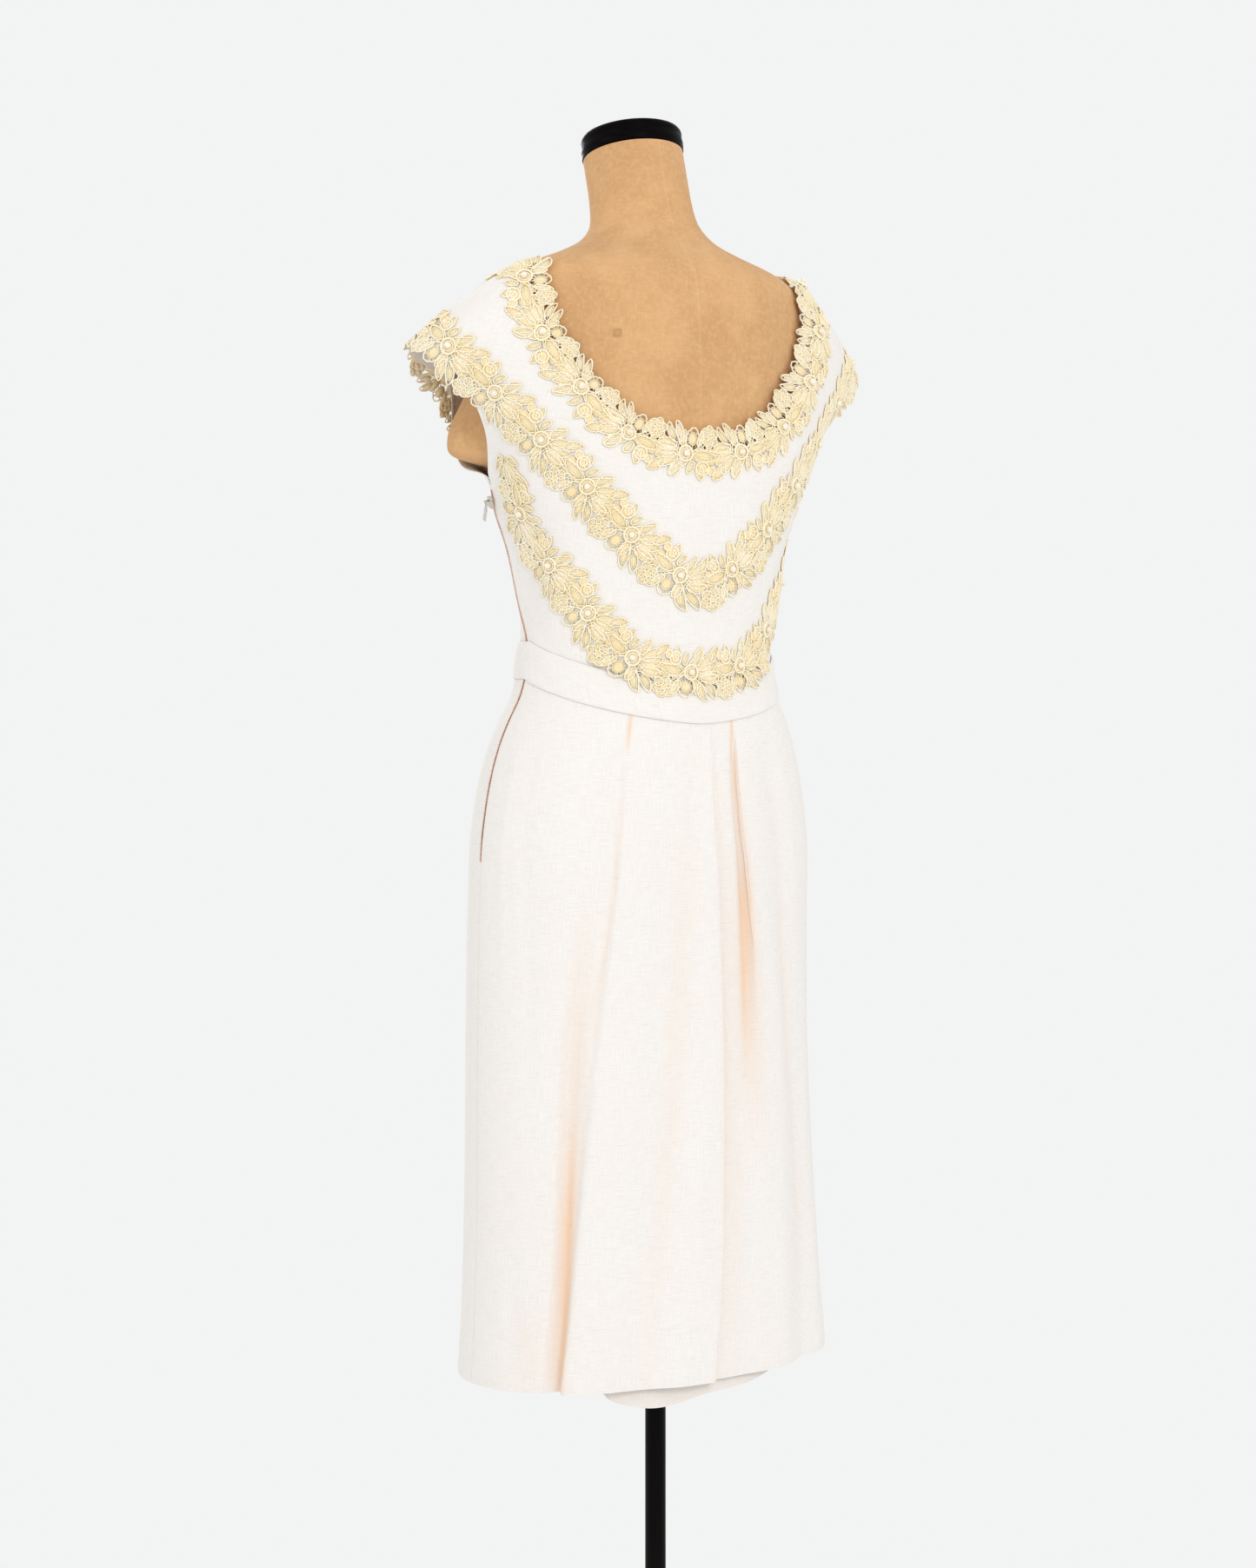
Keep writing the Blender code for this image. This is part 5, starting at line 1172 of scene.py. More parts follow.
def lace_route(bodice, points, closed):
    """Middle line of a lace row in small steps: places, directions, normals and lengths."""
    line, _ = spline(points, np.linspace(0, 1, 601), closed)
    found = [bodice.surface(point) for point in line]
    places = np.array([near for near, _ in found])
    normals = np.array([normal for _, normal in found])
    if closed:
        wrapped = np.concatenate([normals[-21:-1], normals, normals[1:21]])
        normals = even_out(wrapped[:, None], 30)[20:-20, 0]
    else:
        normals = even_out(normals[:, None], 30)[:, 0]
    along = np.gradient(line, axis=0)
    if closed:
        along[0] = along[-1] = line[1] - line[-2]
    normals = unit(normals)
    along = unit(along - normals * (along * normals).sum(1, keepdims=True))
    length = np.concatenate([[0], np.cumsum(np.linalg.norm(np.diff(places, axis=0), axis=1))])
    return places, along, normals, length


BED_MARGIN = 0.064  # of the lattice past the first and last ring
BED_STEP = 0.0025
BED_SIDES = (-LACE_WIDTH - 0.006, LACE_WIDTH + 0.008, 27)  # from, to, and columns
CLOSE_ENOUGH = 5e-5


def lace_bed(name, bodice, route, start, end, closed, standing=False, narrow=None):
    """Lattice over a strip's place that carries the place in the flat strip and the way up at every point."""
    places, along, normals, length = route
    total = length[-1]
    at = np.arange(start - BED_MARGIN, end + BED_MARGIN, BED_STEP)
    across_at = np.linspace(*BED_SIDES)
    inside = at % total if closed else np.clip(at, 0, total)
    spots, ways, ups = (np.stack([np.interp(inside, length, column[:, k]) for k in range(3)], 1)
                        for column in (places, along, normals))
    if not closed:
        spots += ways * (at - inside)[:, None]
    across = unit(np.cross(ups, ways))
    if standing:
        lean = unit(even_out(np.array([bodice.form_way(spot) for spot in spots])[:, None], 12)[:, 0])
        stand = bodice.lean_on_form(spots, unit(np.cross(lean, ways)))
        lean = unit(np.cross(ways, stand))
    points = np.empty((len(at), len(across_at), 3))
    lifted = np.empty_like(points)
    first = int((across_at < 0).sum())
    for i in range(len(at)):
        offsets = across_at * (narrow(np.clip(at[i] / total, 0, 1)) if narrow else 1.0)
        for side, columns in ((-1, range(first - 1, -1, -1)), (1, range(first, len(offsets)))):
            spot, way = spots[i], side * across[i]
            gone = 0.0
            for j in columns:
                if standing and side > 0:
                    points[i, j] = spots[i] + stand[i] * offsets[j] + lean[i] * LACE_LIFT
                    lifted[i, j] = lean[i]
                    continue
                near, normal = bodice.surface(spot + way * (abs(offsets[j]) - gone))
                spot, gone = near, abs(offsets[j])
                way = way - normal * way.dot(normal)
                way /= np.linalg.norm(way)
                points[i, j], lifted[i, j] = near + normal * LACE_LIFT, normal
    points = even_out(points, 2)
    lifted = unit(even_out(lifted, 8))
    for _ in range(3):
        rise = np.array([[bodice.short(point) for point in row] for row in points])
        if rise.max() < CLOSE_ENOUGH:
            break
        wide = np.maximum.reduce([np.roll(rise, k, axis) for axis in (0, 1) for k in (-1, 0, 1)])
        points += lifted * even_out(wide[..., None], 1)
    quads, _ = cells(*points.shape[:2], False)
    flat = np.zeros(points.shape)
    flat[..., 0], flat[..., 1] = at[:, None], across_at[None]
    return carrier(name, points, [], quads.tolist(), strip_place=flat, way_up=lifted)


class Nodes:
    """Node tree built step by step."""

    def node(self, kind, settings=None, *values, **named):
        """Add a node with its settings; values feed its sockets in order, and the others by their names."""
        made = self.tree.nodes.new(kind)
        for key, value in (settings or {}).items():
            setattr(made, key, value)
        for socket, value in zip(made.inputs, values):
            self.feed(socket, value)
        for key, value in named.items():
            title = key.replace("_", " ")
            self.feed(next(s for s in made.inputs if s.name == title and s.enabled), value)
        return made

    def feed(self, socket, value):
        """Give a socket a constant, another socket's value or a node's first one."""
        if isinstance(value, bpy.types.Node):
            value = value.outputs[0]
        if isinstance(value, bpy.types.NodeSocket):
            self.tree.links.new(value, socket)
        else:
            socket.default_value = value


class Tree(Nodes):
    """Geometry node tree with named inputs."""

    def __init__(self, name, inputs):
        self.tree = bpy.data.node_groups.new(name, "GeometryNodeTree")
        self.tree.is_modifier = True
        add = self.tree.interface.new_socket
        add("Geometry", in_out="OUTPUT", socket_type="NodeSocketGeometry")
        self.keys = {}
        for title, kind in {"Geometry": "Geometry", **inputs}.items():
            self.keys[title] = add(title, in_out="INPUT", socket_type=f"NodeSocket{kind}").identifier
        self.given = self.tree.nodes.new("NodeGroupInput")
        self.out = self.tree.nodes.new("NodeGroupOutput")

    def ask(self, title):
        return self.given.outputs[title]

    def carried(self, title):
        """Directions that carry() kept at the points of a mesh."""
        return self.node("GeometryNodeInputNamedAttribute", {"data_type": "FLOAT_VECTOR"}, Name=title)

    def end(self, geometry):
        whole = self.node("GeometryNodeRealizeInstances", Geometry=geometry)
        painted = self.node("GeometryNodeSetMaterial", Geometry=whole, Material=self.ask("Thread"))
        self.feed(self.out.inputs[0], painted)

    def make(self, name, source, values):
        """Run the tree on a source mesh and keep the result as a plain mesh object."""
        step = source.modifiers.new("work", "NODES")
        step.node_group = self.tree
        for title, value in values.items():
            step[self.keys[title]] = value
        graph = bpy.context.evaluated_depsgraph_get()
        graph.update()
        mesh = bpy.data.meshes.new_from_object(source.evaluated_get(graph))
        source.modifiers.clear()
        mesh.name = name
        return placed(name, mesh)


def bed_sample(tree, bed, value, place):
    """Value that the bed has at a place of the flat strip."""
    made = tree.node("GeometryNodeSampleUVSurface", {"data_type": "FLOAT_VECTOR"}, Mesh=bed, Value=value,
                     Sample_UV=place)
    known = "UV Map" if "UV Map" in made.inputs else "Source UV Map"
    tree.feed(made.inputs[known], tree.carried("strip_place"))
    return made


def lay_on_bed(tree, geometry):
    """Bend flat work over the bed: its place in the strip gives the spot, its height goes up from there."""
    bed = tree.node("GeometryNodeObjectInfo", Object=tree.ask("Bed")).outputs["Geometry"]
    parts = tree.node("ShaderNodeSeparateXYZ", None, tree.node("GeometryNodeInputPosition"))
    flat = tree.node("ShaderNodeCombineXYZ", None, parts.outputs[0], parts.outputs[1])
    spot = bed_sample(tree, bed, tree.node("GeometryNodeInputPosition"), flat)
    up = bed_sample(tree, bed, tree.carried("way_up"), flat)
    raised = tree.node("ShaderNodeVectorMath", {"operation": "SCALE"}, Vector=up, Scale=parts.outputs[2])
    whole = tree.node("ShaderNodeVectorMath", {"operation": "ADD"}, spot, raised)
    return tree.node("GeometryNodeSetPosition", Geometry=geometry, Position=whole)


def repeat_along(tree, what):
    """Copies of a drawing at every repeat of a strip."""
    step, first = (tree.node("ShaderNodeCombineXYZ", None, tree.ask(title))
                   for title in ("Repeat length", "First ring"))
    line = tree.node("GeometryNodeMeshLine", Count=tree.ask("Repeats"), Start_Location=first, Offset=step)
    size = tree.node("ShaderNodeCombineXYZ", None, tree.ask("Stretch"), 1.0, 1.0)
    copies = tree.node("GeometryNodeInstanceOnPoints", Points=line, Instance=what, Scale=size)
    return tree.node("GeometryNodeRealizeInstances", Geometry=copies)


def lace_trees():
    """Tree that lays the lace's repeats on a bed, and the one that sews a pearl into every ring."""
    sizes = {"Bed": "Object", "Repeats": "Int", "Repeat length": "Float", "First ring": "Float",
             "Stretch": "Float", "Thread": "Material"}
    strip = Tree("lace laid along a row", sizes)
    pearls = Tree("pearls sewn into the rings", {**sizes, "Pearl size": "Float"})
    size = pearls.ask("Pearl size")
    ball = pearls.node("GeometryNodeMeshIcoSphere", Radius=size, Subdivisions=2)
    pearl = pearls.node("GeometryNodeTransform", Geometry=ball,
                        Translation=pearls.node("ShaderNodeCombineXYZ", Z=size))
    for tree, drawing in ((strip, strip.ask("Geometry")), (pearls, pearl)):
        laid = lay_on_bed(tree, repeat_along(tree, drawing))
        tree.end(tree.node("GeometryNodeSetShadeSmooth", Geometry=laid))
    return strip, pearls


END_TAPER = (0.45, 7.0)  # width at an end, and how fast it grows


def end_taper(share):
    """Share of its full width that the lowest row has, from its ends under the arms inward."""
    return min(1.0, END_TAPER[0] + END_TAPER[1] * min(share, 1 - share))


def nearest_length(route, point):
    return route[3][np.argmin(np.linalg.norm(route[0] - np.array(point), axis=1))]


# Name, routes, repeats behind and as many in front, place of a ring in its repeat, turned over, standing
LACE_ROWS = (
    ("neck", BACK_NECKLINE, FRONT_NECKLINE, 9, 0.30, False, True),
    ("mid", MID_BACK, MID_FRONT, 12, 0.55, True, False),
)
LOW_ROWS = (("low_back", LOW_BACK, 10), ("low_front", LOW_FRONT, 6))
TURNED_REACH = (0.059, 0.019)  # how far a turned repeat reaches before and past its ring


def lace_jobs(bodice):
    """For each strip: name, bed, side up, repeats, length of one, place of the first ring, whole length."""
    jobs = []
    for name, back, front, repeats, place, turned, standing in LACE_ROWS:
        loop = np.vstack((mirrored(back)[:-1], mirrored(front)[::-1][:-1]))
        route = lace_route(bodice, loop, closed=True)
        turn, end = nearest_length(route, mirrored(back)[-1]), route[3][-1]
        step = end / (2 * repeats)
        for part, first, length in (("back", 0, turn), ("front", repeats, end - turn)):
            start, last = (first + place) * step, (first + repeats - 1 + place) * step
            bed = lace_bed(f"bed_{name}_{part}", bodice, route, start, last, True, standing)
            jobs.append((f"lace_{name}_{part}", bed, -1 if turned else 1, repeats, step, start, length))
    for name, points, count in LOW_ROWS:
        route = lace_route(bodice, mirrored(points), closed=False)
        start = TURNED_REACH[0]
        step = (route[3][-1] - start - TURNED_REACH[1]) / (count - 1)
        last = start + (count - 1) * step
        bed = lace_bed(f"bed_{name}", bodice, route, start, last, False, narrow=end_taper)
        jobs.append((f"lace_{name}", bed, -1, count, step, start, route[3][-1]))
    return jobs


def make_lace(looks, bodice):
    """The six strips of lace, their cords and their pearls, with each strip's length."""
    strip, pearls = lace_trees()
    sources = {}
    for kind, (points, faces) in lace_drawing().work.items():
        for sign in (1, -1):
            sources[kind, sign] = solid(f"lace_{kind}_{sign}", np.array(points) * (sign, sign, 1), faces,
                                        looks["lace"], sharp=180)
    dot = solid("pearl_start", np.zeros((3, 3)), [(0, 1, 2)], looks["pearl"])
    made = []
    for name, bed, sign, count, step, first, length in lace_jobs(bodice):
        values = {"Bed": bed, "Repeats": count, "Repeat length": step, "First ring": first,
                  "Stretch": step / REPEAT, "Thread": looks["lace"]}
        beaded = {**values, "Thread": looks["pearl"], "Stretch": 1.0, "Pearl size": PEARL_RADIUS}
        lace = strip.make(name + "_work", sources["stitched", sign], values)
        cords = strip.make(name + "_cords", sources["corded", sign], {**values, "Thread": looks["cord"]})
        made.append((name, lace, cords, pearls.make(name + "_pearls", dot, beaded), length))
        bpy.data.objects.remove(bed, do_unlink=True)
    for helper in (*sources.values(), dot):
        bpy.data.objects.remove(helper, do_unlink=True)
    return made


# Finishes

class Finish(Nodes):
    """Material with a Principled shader, and short ways to add the nodes that feed it."""

    def __init__(self, name, colour, roughness, **constants):
        self.look = bpy.data.materials.new(name)
        self.look.use_nodes = True
        self.tree = self.look.node_tree
        self.shader = self.tree.nodes["Principled BSDF"]
        self.shader.inputs["Base Color"].default_value = (*colour, 1)
        self.shader.inputs["Roughness"].default_value = roughness
        for key, value in constants.items():
            self.shader.inputs[key.replace("_", " ")].default_value = value
        self.heights = []

    def place(self, layer=None):
        """Object coordinates, or the flat lengths of a cut piece."""
        if layer:
            return self.node("ShaderNodeUVMap", {"uv_map": layer}).outputs[0]
        return self.node("ShaderNodeTexCoord").outputs["Object"]

    def noise(self, place, scale, detail=2.0, rough=0.5):
        """Noise over a place stretched by scale along each axis, or alike along all three."""
        scale = scale if isinstance(scale, tuple) else (scale, scale, scale)
        at = self.node("ShaderNodeMapping", Vector=place, Scale=scale)
        made = self.node("ShaderNodeTexNoise", Vector=at, Scale=1.0, Detail=detail, Roughness=rough)
        return made.outputs["Fac"]

    def ramp(self, value, low, high, first=0.0, last=1.0):
        """Smooth step from first to last while the value goes from low to high."""
        smooth = {"clamp": True, "interpolation_type": "SMOOTHSTEP"}
        made = self.node("ShaderNodeMapRange", smooth, Value=value, From_Min=low, From_Max=high, To_Min=first,
                         To_Max=last)
        return made.outputs[0]

    def math(self, operation, first, second=0.0):
        return self.node("ShaderNodeMath", {"operation": operation}, first, second).outputs[0]

    def mix(self, share, first, last):
        made = self.node("ShaderNodeMix", {"data_type": "RGBA"}, Factor=share)
        colours = [s for s in made.inputs if s.type == "RGBA"]
        for socket, value in zip(colours, (first, last)):
            self.feed(socket, value if isinstance(value, bpy.types.NodeSocket) else (*value, 1))
        return next(s for s in made.outputs if s.type == "RGBA")

    def colour(self, value):
        self.feed(self.shader.inputs["Base Color"], value)

    def shine(self, value):
        self.feed(self.shader.inputs["Roughness"], value)

    def bump(self, height, distance, strength=1.0):
        made = self.node("ShaderNodeBump", Height=height, Distance=distance, Strength=strength)
        if self.heights:
            self.tree.links.new(self.heights[-1], made.inputs["Normal"])
        self.heights.append(made.outputs[0])
        self.feed(self.shader.inputs["Normal"], made)


def linen_finish():
    """Ivory linen: plain weave with slubs both ways, with painted warm shade where the cloth turns inward in
    the pleats.
    """
    made = Finish("slubby ivory linen", (0.93, 0.90, 0.86), 0.88, Sheen_Weight=0.06, Sheen_Roughness=0.5,
                  Specular_IOR_Level=0.2)
    cut = made.place("cut")
    weft = made.noise(cut, (75, 1500, 1), 3.0, 0.6)
    warp = made.noise(cut, (1600, 55, 1), 3.0, 0.6)
    slub = made.ramp(made.noise(cut, (45, 900, 1), 1.0), 0.62, 0.78)
    cloud = made.noise(cut, (14, 11, 1), 2.0)
    threads = made.math("ADD", weft, warp)
    base = made.mix(made.ramp(threads, 0.75, 1.25), (0.825, 0.785, 0.742), (0.900, 0.868, 0.832))
    base = made.mix(made.math("MULTIPLY", slub, 0.45), base, (0.930, 0.900, 0.868))
    base = made.mix(made.ramp(cloud, 0.35, 0.75, 0.0, 0.35), base, (0.870, 0.815, 0.762))
    # painted warm shade: each point's share tints the linen a darker peach, for light that comes back warmer
    # and dimmer from deep in the folds
    warm_shade = made.node("ShaderNodeAttribute", {"attribute_name": "warm_shade"}).outputs["Fac"]
    made.colour(made.mix(warm_shade, base, (0.87, 0.64, 0.47)))
    made.bump(made.math("ADD", threads, slub), 0.00022, 0.7)
    return made.look


def lace_finish(name, shade):
    """Warm yellow cotton lace: dense satin stitches over cords, with a share shade of painted shade in a
    deeper yellow.
    """
    made = Finish(name, (0.93, 0.78, 0.42), 0.70, Sheen_Weight=0.1, Sheen_Roughness=0.4,
                  Specular_IOR_Level=0.3)
    place = made.place()
    stitch = made.noise(place, 900)
    patch = made.noise(place, 28)
    fine = made.noise(place, 260)
    base = made.mix(made.ramp(patch, 0.35, 0.68), (0.98, 0.87, 0.60), (0.99, 0.92, 0.72))
    base = made.mix(made.ramp(fine, 0.35, 0.70, 0.0, 0.5), base, (1.0, 0.95, 0.81))
    base = made.mix(made.ramp(stitch, 0.42, 0.60, 0.20, 0.0), base, (0.86, 0.68, 0.38))
    # painted shade: a deeper yellow for the shadow between the cords, given to the low stitched fillings
    made.colour(made.mix(shade, base, (0.90, 0.69, 0.35)))
    made.bump(stitch, 0.00030, 0.8)
    return made.look


MARK_PLACE = (0.078, 0.100, 1.404)


def canvas_finish():
    """Tan canvas of the form, mottled with age, with a pale seam down the back and a small square mark."""
    made = Finish("tan form canvas", (0.74, 0.43, 0.21), 0.82, Sheen_Weight=0.06, Sheen_Roughness=0.5,
                  Specular_IOR_Level=0.2)
    place = made.place()
    mottle = made.noise(place, 22, 4.0, 0.6)
    speck = made.noise(place, 240)
    weave = made.math("ADD", made.noise(place, (1300, 1300, 90), 1.0),
                      made.noise(place, (120, 120, 1500), 1.0))
    base = made.mix(made.ramp(mottle, 0.32, 0.70), (0.615, 0.346, 0.152), (0.730, 0.430, 0.200))
    base = made.mix(made.ramp(speck, 0.40, 0.70, 0.0, 0.35), base, (0.780, 0.500, 0.260))
    base = made.mix(made.ramp(weave, 0.8, 1.2, 0.25, 0.0), base, (0.500, 0.275, 0.120))
    parts = made.node("ShaderNodeSeparateXYZ", Vector=place)
    seam = made.ramp(made.math("ABSOLUTE", parts.outputs[0]), 0.0004, 0.0014, 1.0, 0.0)
    base = made.mix(made.math("MULTIPLY", seam, 0.14), base, (0.86, 0.58, 0.33))
    spot = made.node("ShaderNodeVectorMath", {"operation": "SUBTRACT"}, place, MARK_PLACE)
    apart = made.node("ShaderNodeSeparateXYZ", None, spot)
    square = made.math("MAXIMUM", *(made.math("ABSOLUTE", apart.outputs[k]) for k in (0, 2)))
    behind = made.ramp(parts.outputs[1], 0.0, 0.01)
    mark = made.math("MULTIPLY", made.ramp(square, 0.0024, 0.0052, 1.0, 0.0), behind)
    hole = made.ramp(square, 0.0008, 0.0026, 0.45, 1.0)
    mark = made.math("MULTIPLY", made.math("MULTIPLY", mark, hole), 0.55)
    made.colour(made.mix(mark, base, (0.36, 0.18, 0.07)))
    made.bump(weave, 0.00025, 0.6)
    made.bump(seam, 0.0002, 0.3)
    return made.look


def two_tone(name, colour, roughness, grain, tones, spread, shine=None, bump=None, detail=2.0, layer=None,
             shine_grain=None, bump_grain=None, **constants):
    """Finish whose tone, roughness and relief follow one noise, or one of their own where it is given."""
    made = Finish(name, colour, roughness, **constants)
    place = made.place(layer)
    noise = made.noise(place, grain, detail)
    made.colour(made.mix(made.ramp(noise, *spread), *tones))
    if shine:
        made.shine(made.ramp(made.noise(place, shine_grain) if shine_grain else noise, *shine))
    if bump:
        made.bump(made.noise(place, bump_grain) if bump_grain else noise, *bump)
    return made.look


def make_looks():
    """Every finish, under the name by which the pieces ask for it."""
    return {
        "linen": linen_finish(),
        # the stitched fillings carry painted shade, the cords none
        "lace": lace_finish("yellow stitched lace in painted shade", 0.65),
        "cord": lace_finish("yellow lace cords", 0.0),
        "canvas": canvas_finish(),
        "satin": two_tone("black satin band", (0.001, 0.0007, 0.0007), 0.40, (60, 60, 1400),
                          ((0.002, 0.0015, 0.0015), (0.005, 0.004, 0.004)), (0.4, 0.7),
                          shine=(0.3, 0.7, 0.26, 0.44), shine_grain=(90, 90, 300), bump=(0.0002, 0.5),
                          Specular_IOR_Level=0.025),
        "black": two_tone("black stove enamel", (0.002, 0.0015, 0.001), 0.42, (35, 35, 12),
                          ((0.0016, 0.0010, 0.0008), (0.0040, 0.0030, 0.0022)), (0.45, 0.75), detail=3.0,
                          shine=(0.3, 0.7, 0.30, 0.48), bump=(0.0001, 0.4), bump_grain=420,
                          Specular_IOR_Level=0.06),
        "tape": two_tone("zip tape twill", (0.50, 0.25, 0.13), 0.85, (900, 900, 1),
                         ((0.40, 0.18, 0.09), (0.58, 0.31, 0.17)), (0.4, 0.65), bump=(0.0002, 0.6),
                         layer="cut", Specular_IOR_Level=0.25),
        "enamel": two_tone("ivory enamel on metal", (0.62, 0.59, 0.53), 0.28, 500,
                           ((0.66, 0.63, 0.57), (0.36, 0.32, 0.26)), (0.48, 0.70), detail=3.0,
                           shine=(0.4, 0.7, 0.22, 0.42), bump=(0.00008, 0.4), Metallic=0.7, Coat_Weight=0.3,
                           Coat_Roughness=0.15),
        "teeth": two_tone("nylon zip teeth", (0.60, 0.28, 0.14), 0.45, 300,
                          ((0.52, 0.22, 0.10), (0.72, 0.40, 0.22)), (0.4, 0.65)),
        "pearl": two_tone("ivory pearl", (0.90, 0.83, 0.68), 0.22, 400,
                          ((0.86, 0.77, 0.58), (0.96, 0.92, 0.83)), (0.35, 0.65),
                          shine=(0.3, 0.7, 0.18, 0.30), Coat_Weight=0.8, Coat_Roughness=0.08,
                          Sheen_Weight=0.3),
        "thread": two_tone("ivory sewing thread", (0.90, 0.86, 0.78), 0.6, 900,
                           ((0.84, 0.79, 0.70), (0.95, 0.92, 0.86)), (0.4, 0.6), Sheen_Weight=0.2),
    }


# Floor, light and camera

FLOOR_RADIUS = 0.92
FLOOR_FADE = 0.35  # radius from which the floor fades out
FLOOR_SIDES = 96
STUDIO = (0.893, 0.897, 0.901, 1)
LIGHTS = (  # name, place, what it is aimed at, size in metres, power in watts
    ("back softbox", (0.6, 3.6, 2.3), (0, 0, 1.0), 1.2, 34),
    ("front softbox", (-0.8, -3.4, 2.3), (0, 0, 1.0), 1.4, 28),
    ("side softbox", (3.6, -0.2, 1.9), (0, 0, 1.1), 1.4, 8),
)
CAMERA_PLACE = (1.44, 2.494, 1.08)
CAMERA_TURN = 150  # degrees round Z
LENS = 71.84  # focal length in millimetres on a sensor of SENSOR_HEIGHT
SENSOR_HEIGHT = 36
PHOTO_HEIGHT = 1804  # pixels
PHOTO_SHIFT = (-31.5, -100.0)  # pixels aside and up


def make_floor():
    """Round pale floor that fades out at its edge into the pale studio."""
    look = Finish("pale studio floor", (0.88, 0.88, 0.88), 0.9, Specular_IOR_Level=0.1)
    place = look.place()
    look.colour(look.mix(look.ramp(look.noise(place, 3), 0.3, 0.7), (0.87, 0.87, 0.875), (0.89, 0.89, 0.89)))
    away = look.node("ShaderNodeVectorMath", {"operation": "LENGTH"}, place).outputs["Value"]
    look.feed(look.shader.inputs["Alpha"], look.ramp(away, FLOOR_FADE, FLOOR_RADIUS, 1.0, 0.0))
    angle = np.linspace(0, 2 * math.pi, FLOOR_SIDES, endpoint=False)
    points = [(FLOOR_RADIUS * math.cos(a), FLOOR_RADIUS * math.sin(a), 0.0) for a in angle]
    floor = solid("studio_floor", np.array(points), [tuple(range(FLOOR_SIDES))], look.look)


def make_light():
    world = bpy.data.worlds.new("pale studio")
    world.use_nodes = True
    shade = world.node_tree.nodes["Background"]
    shade.inputs["Color"].default_value = STUDIO
    shade.inputs["Strength"].default_value = 1.0
    bpy.context.scene.world = world
    bpy.context.scene.view_settings.view_transform = "Standard"
    for name, place, target, size, power in LIGHTS:
        lamp = bpy.data.lights.new(name, "AREA")
        lamp.shape = "DISK"
        lamp.size = size
        lamp.energy = power
        made = placed(name, lamp)
        made.location = place
        made.rotation_euler = (Vector(target) - Vector(place)).to_track_quat("-Z", "Y").to_euler()


def make_camera():
    lens = bpy.data.cameras.new("camera")
    lens.sensor_fit = "VERTICAL"
    lens.sensor_height = SENSOR_HEIGHT
    lens.lens = LENS
    lens.shift_x, lens.shift_y = (pixels / PHOTO_HEIGHT for pixels in PHOTO_SHIFT)
    made = placed("camera", lens)
    made.location = CAMERA_PLACE
    made.rotation_euler = (math.radians(90), 0, math.radians(CAMERA_TURN))
    bpy.context.scene.camera = made


# Zip and hem stitches

TAPE_SINK = 0.0035  # how much deeper the tape's edges lie at its top
TAPE_SINK_Z = 1.222  # height from which they do
TAPE_WALL = 0.0006
TAPE_SHARES = np.array((1, 0.66, 0.33, 0, 0.33, 0.66, 1))  # places across the tape, from its middle
INNER_FACE = 0.0016  # depth of the line that the tape follows, under the cloth's outer face
TEETH_LIFT = 0.0021  # of the teeth off the seam's line
TOOTH = {"Pitch": 0.0012, "Tooth length": 0.0019, "Tooth height": 0.0009}
TOOTH_WIDTH = 0.0007
TOOTH_ASIDE = 0.00045  # how far each tooth is set to its own side of the seam
STITCH = {"Pitch": 0.0078, "Stitch length": 2.6, "Thread radius": 0.00022, "Seed": 4}
STITCH_LIFT = 0.0001
STITCH_WANDER = (0.0007, 0.0007, 0.0003)  # most that a stitch is moved each way
HEM_ENDS = slice(8, -8)  # columns of the skirt that the hem stitches span


def zip_rows(skirts, grids, splits):
    """Rows up the zip: for each, the seam's inner point, inner points beside it, back first."""
    levels = SEAM_LEVELS * splits + 1
    rows = []
    for (back, front), edge, beside, count in ((skirts, -1, -4, None), (grids, 0, 3, levels)):
        back, front = (grid - surface_normals(grid) * INNER_FACE for grid in (back, front))
        rows += list(zip(back[:count, 0], back[:count, 3], front[:count, edge], front[:count, beside]))
    return np.array(rows)


def make_zip(looks, skirts, grids, splits):
    """Tape under the open side, and two rows of teeth down it."""
    rows = zip_rows(skirts, grids, splits)
    z = rows[:, 0, 2]
    order = np.argsort(z)
    kept = np.arange(ZIP_END_Z, ZIP_TOP_Z, 0.004)
    flat = rows[order].reshape(len(rows), -1)
    rows = np.stack([np.interp(kept, z[order], column) for column in flat.T], 1).reshape(-1, 4, 3)
    rows = even_out(rows, 3)
    seam = (rows[:, 0] + rows[:, 2]) / 2
    sides = [unit(rows[:, at] - seam) for at in (1, 3)]
    along = np.gradient(seam, axis=0)
    out = np.cross(sides[0] - sides[1], along)
    out *= np.sign(out[:, :1]) / np.linalg.norm(out, axis=1, keepdims=True)
    half = ZIP_TAPE_WIDTH / 2
    points = np.stack([seam + sides[k // 4] * half * share for k, share in enumerate(TAPE_SHARES)], 1)
    deeper = TAPE_SINK * TAPE_SHARES ** 2 * np.clip((kept - TAPE_SINK_Z) / 0.030, 0, 1)[:, None]
    outer = points - out[:, None] * (TAPE_GAP + deeper)[..., None]
    tape = cloth("zip_tape_cloth", outer, outer - out[:, None] * TAPE_WALL, looks["tape"])

    def tooth(tree):
        number = tree.node("GeometryNodeInputIndex")
        odd = tree.node("ShaderNodeMath", {"operation": "MODULO"}, number, 2.0)
        way = tree.node("ShaderNodeMapRange", Value=odd, To_Min=-TOOTH_ASIDE, To_Max=TOOTH_ASIDE)
        aside = tree.node("ShaderNodeVectorMath", {"operation": "SCALE"}, Vector=tree.carried("crosswise"),
                          Scale=way)
        size = tree.node("ShaderNodeCombineXYZ", None, tree.ask("Tooth length"), TOOTH_WIDTH,
                         tree.ask("Tooth height"))
        return tree.node("GeometryNodeMeshCube", Size=size), aside

    ways = out, unit(np.cross(out, along))
    teeth = set_along("zip_teeth", "zip_line", seam + out * TEETH_LIFT, ways, TOOTH, looks["teeth"], tooth)
    return tape, teeth


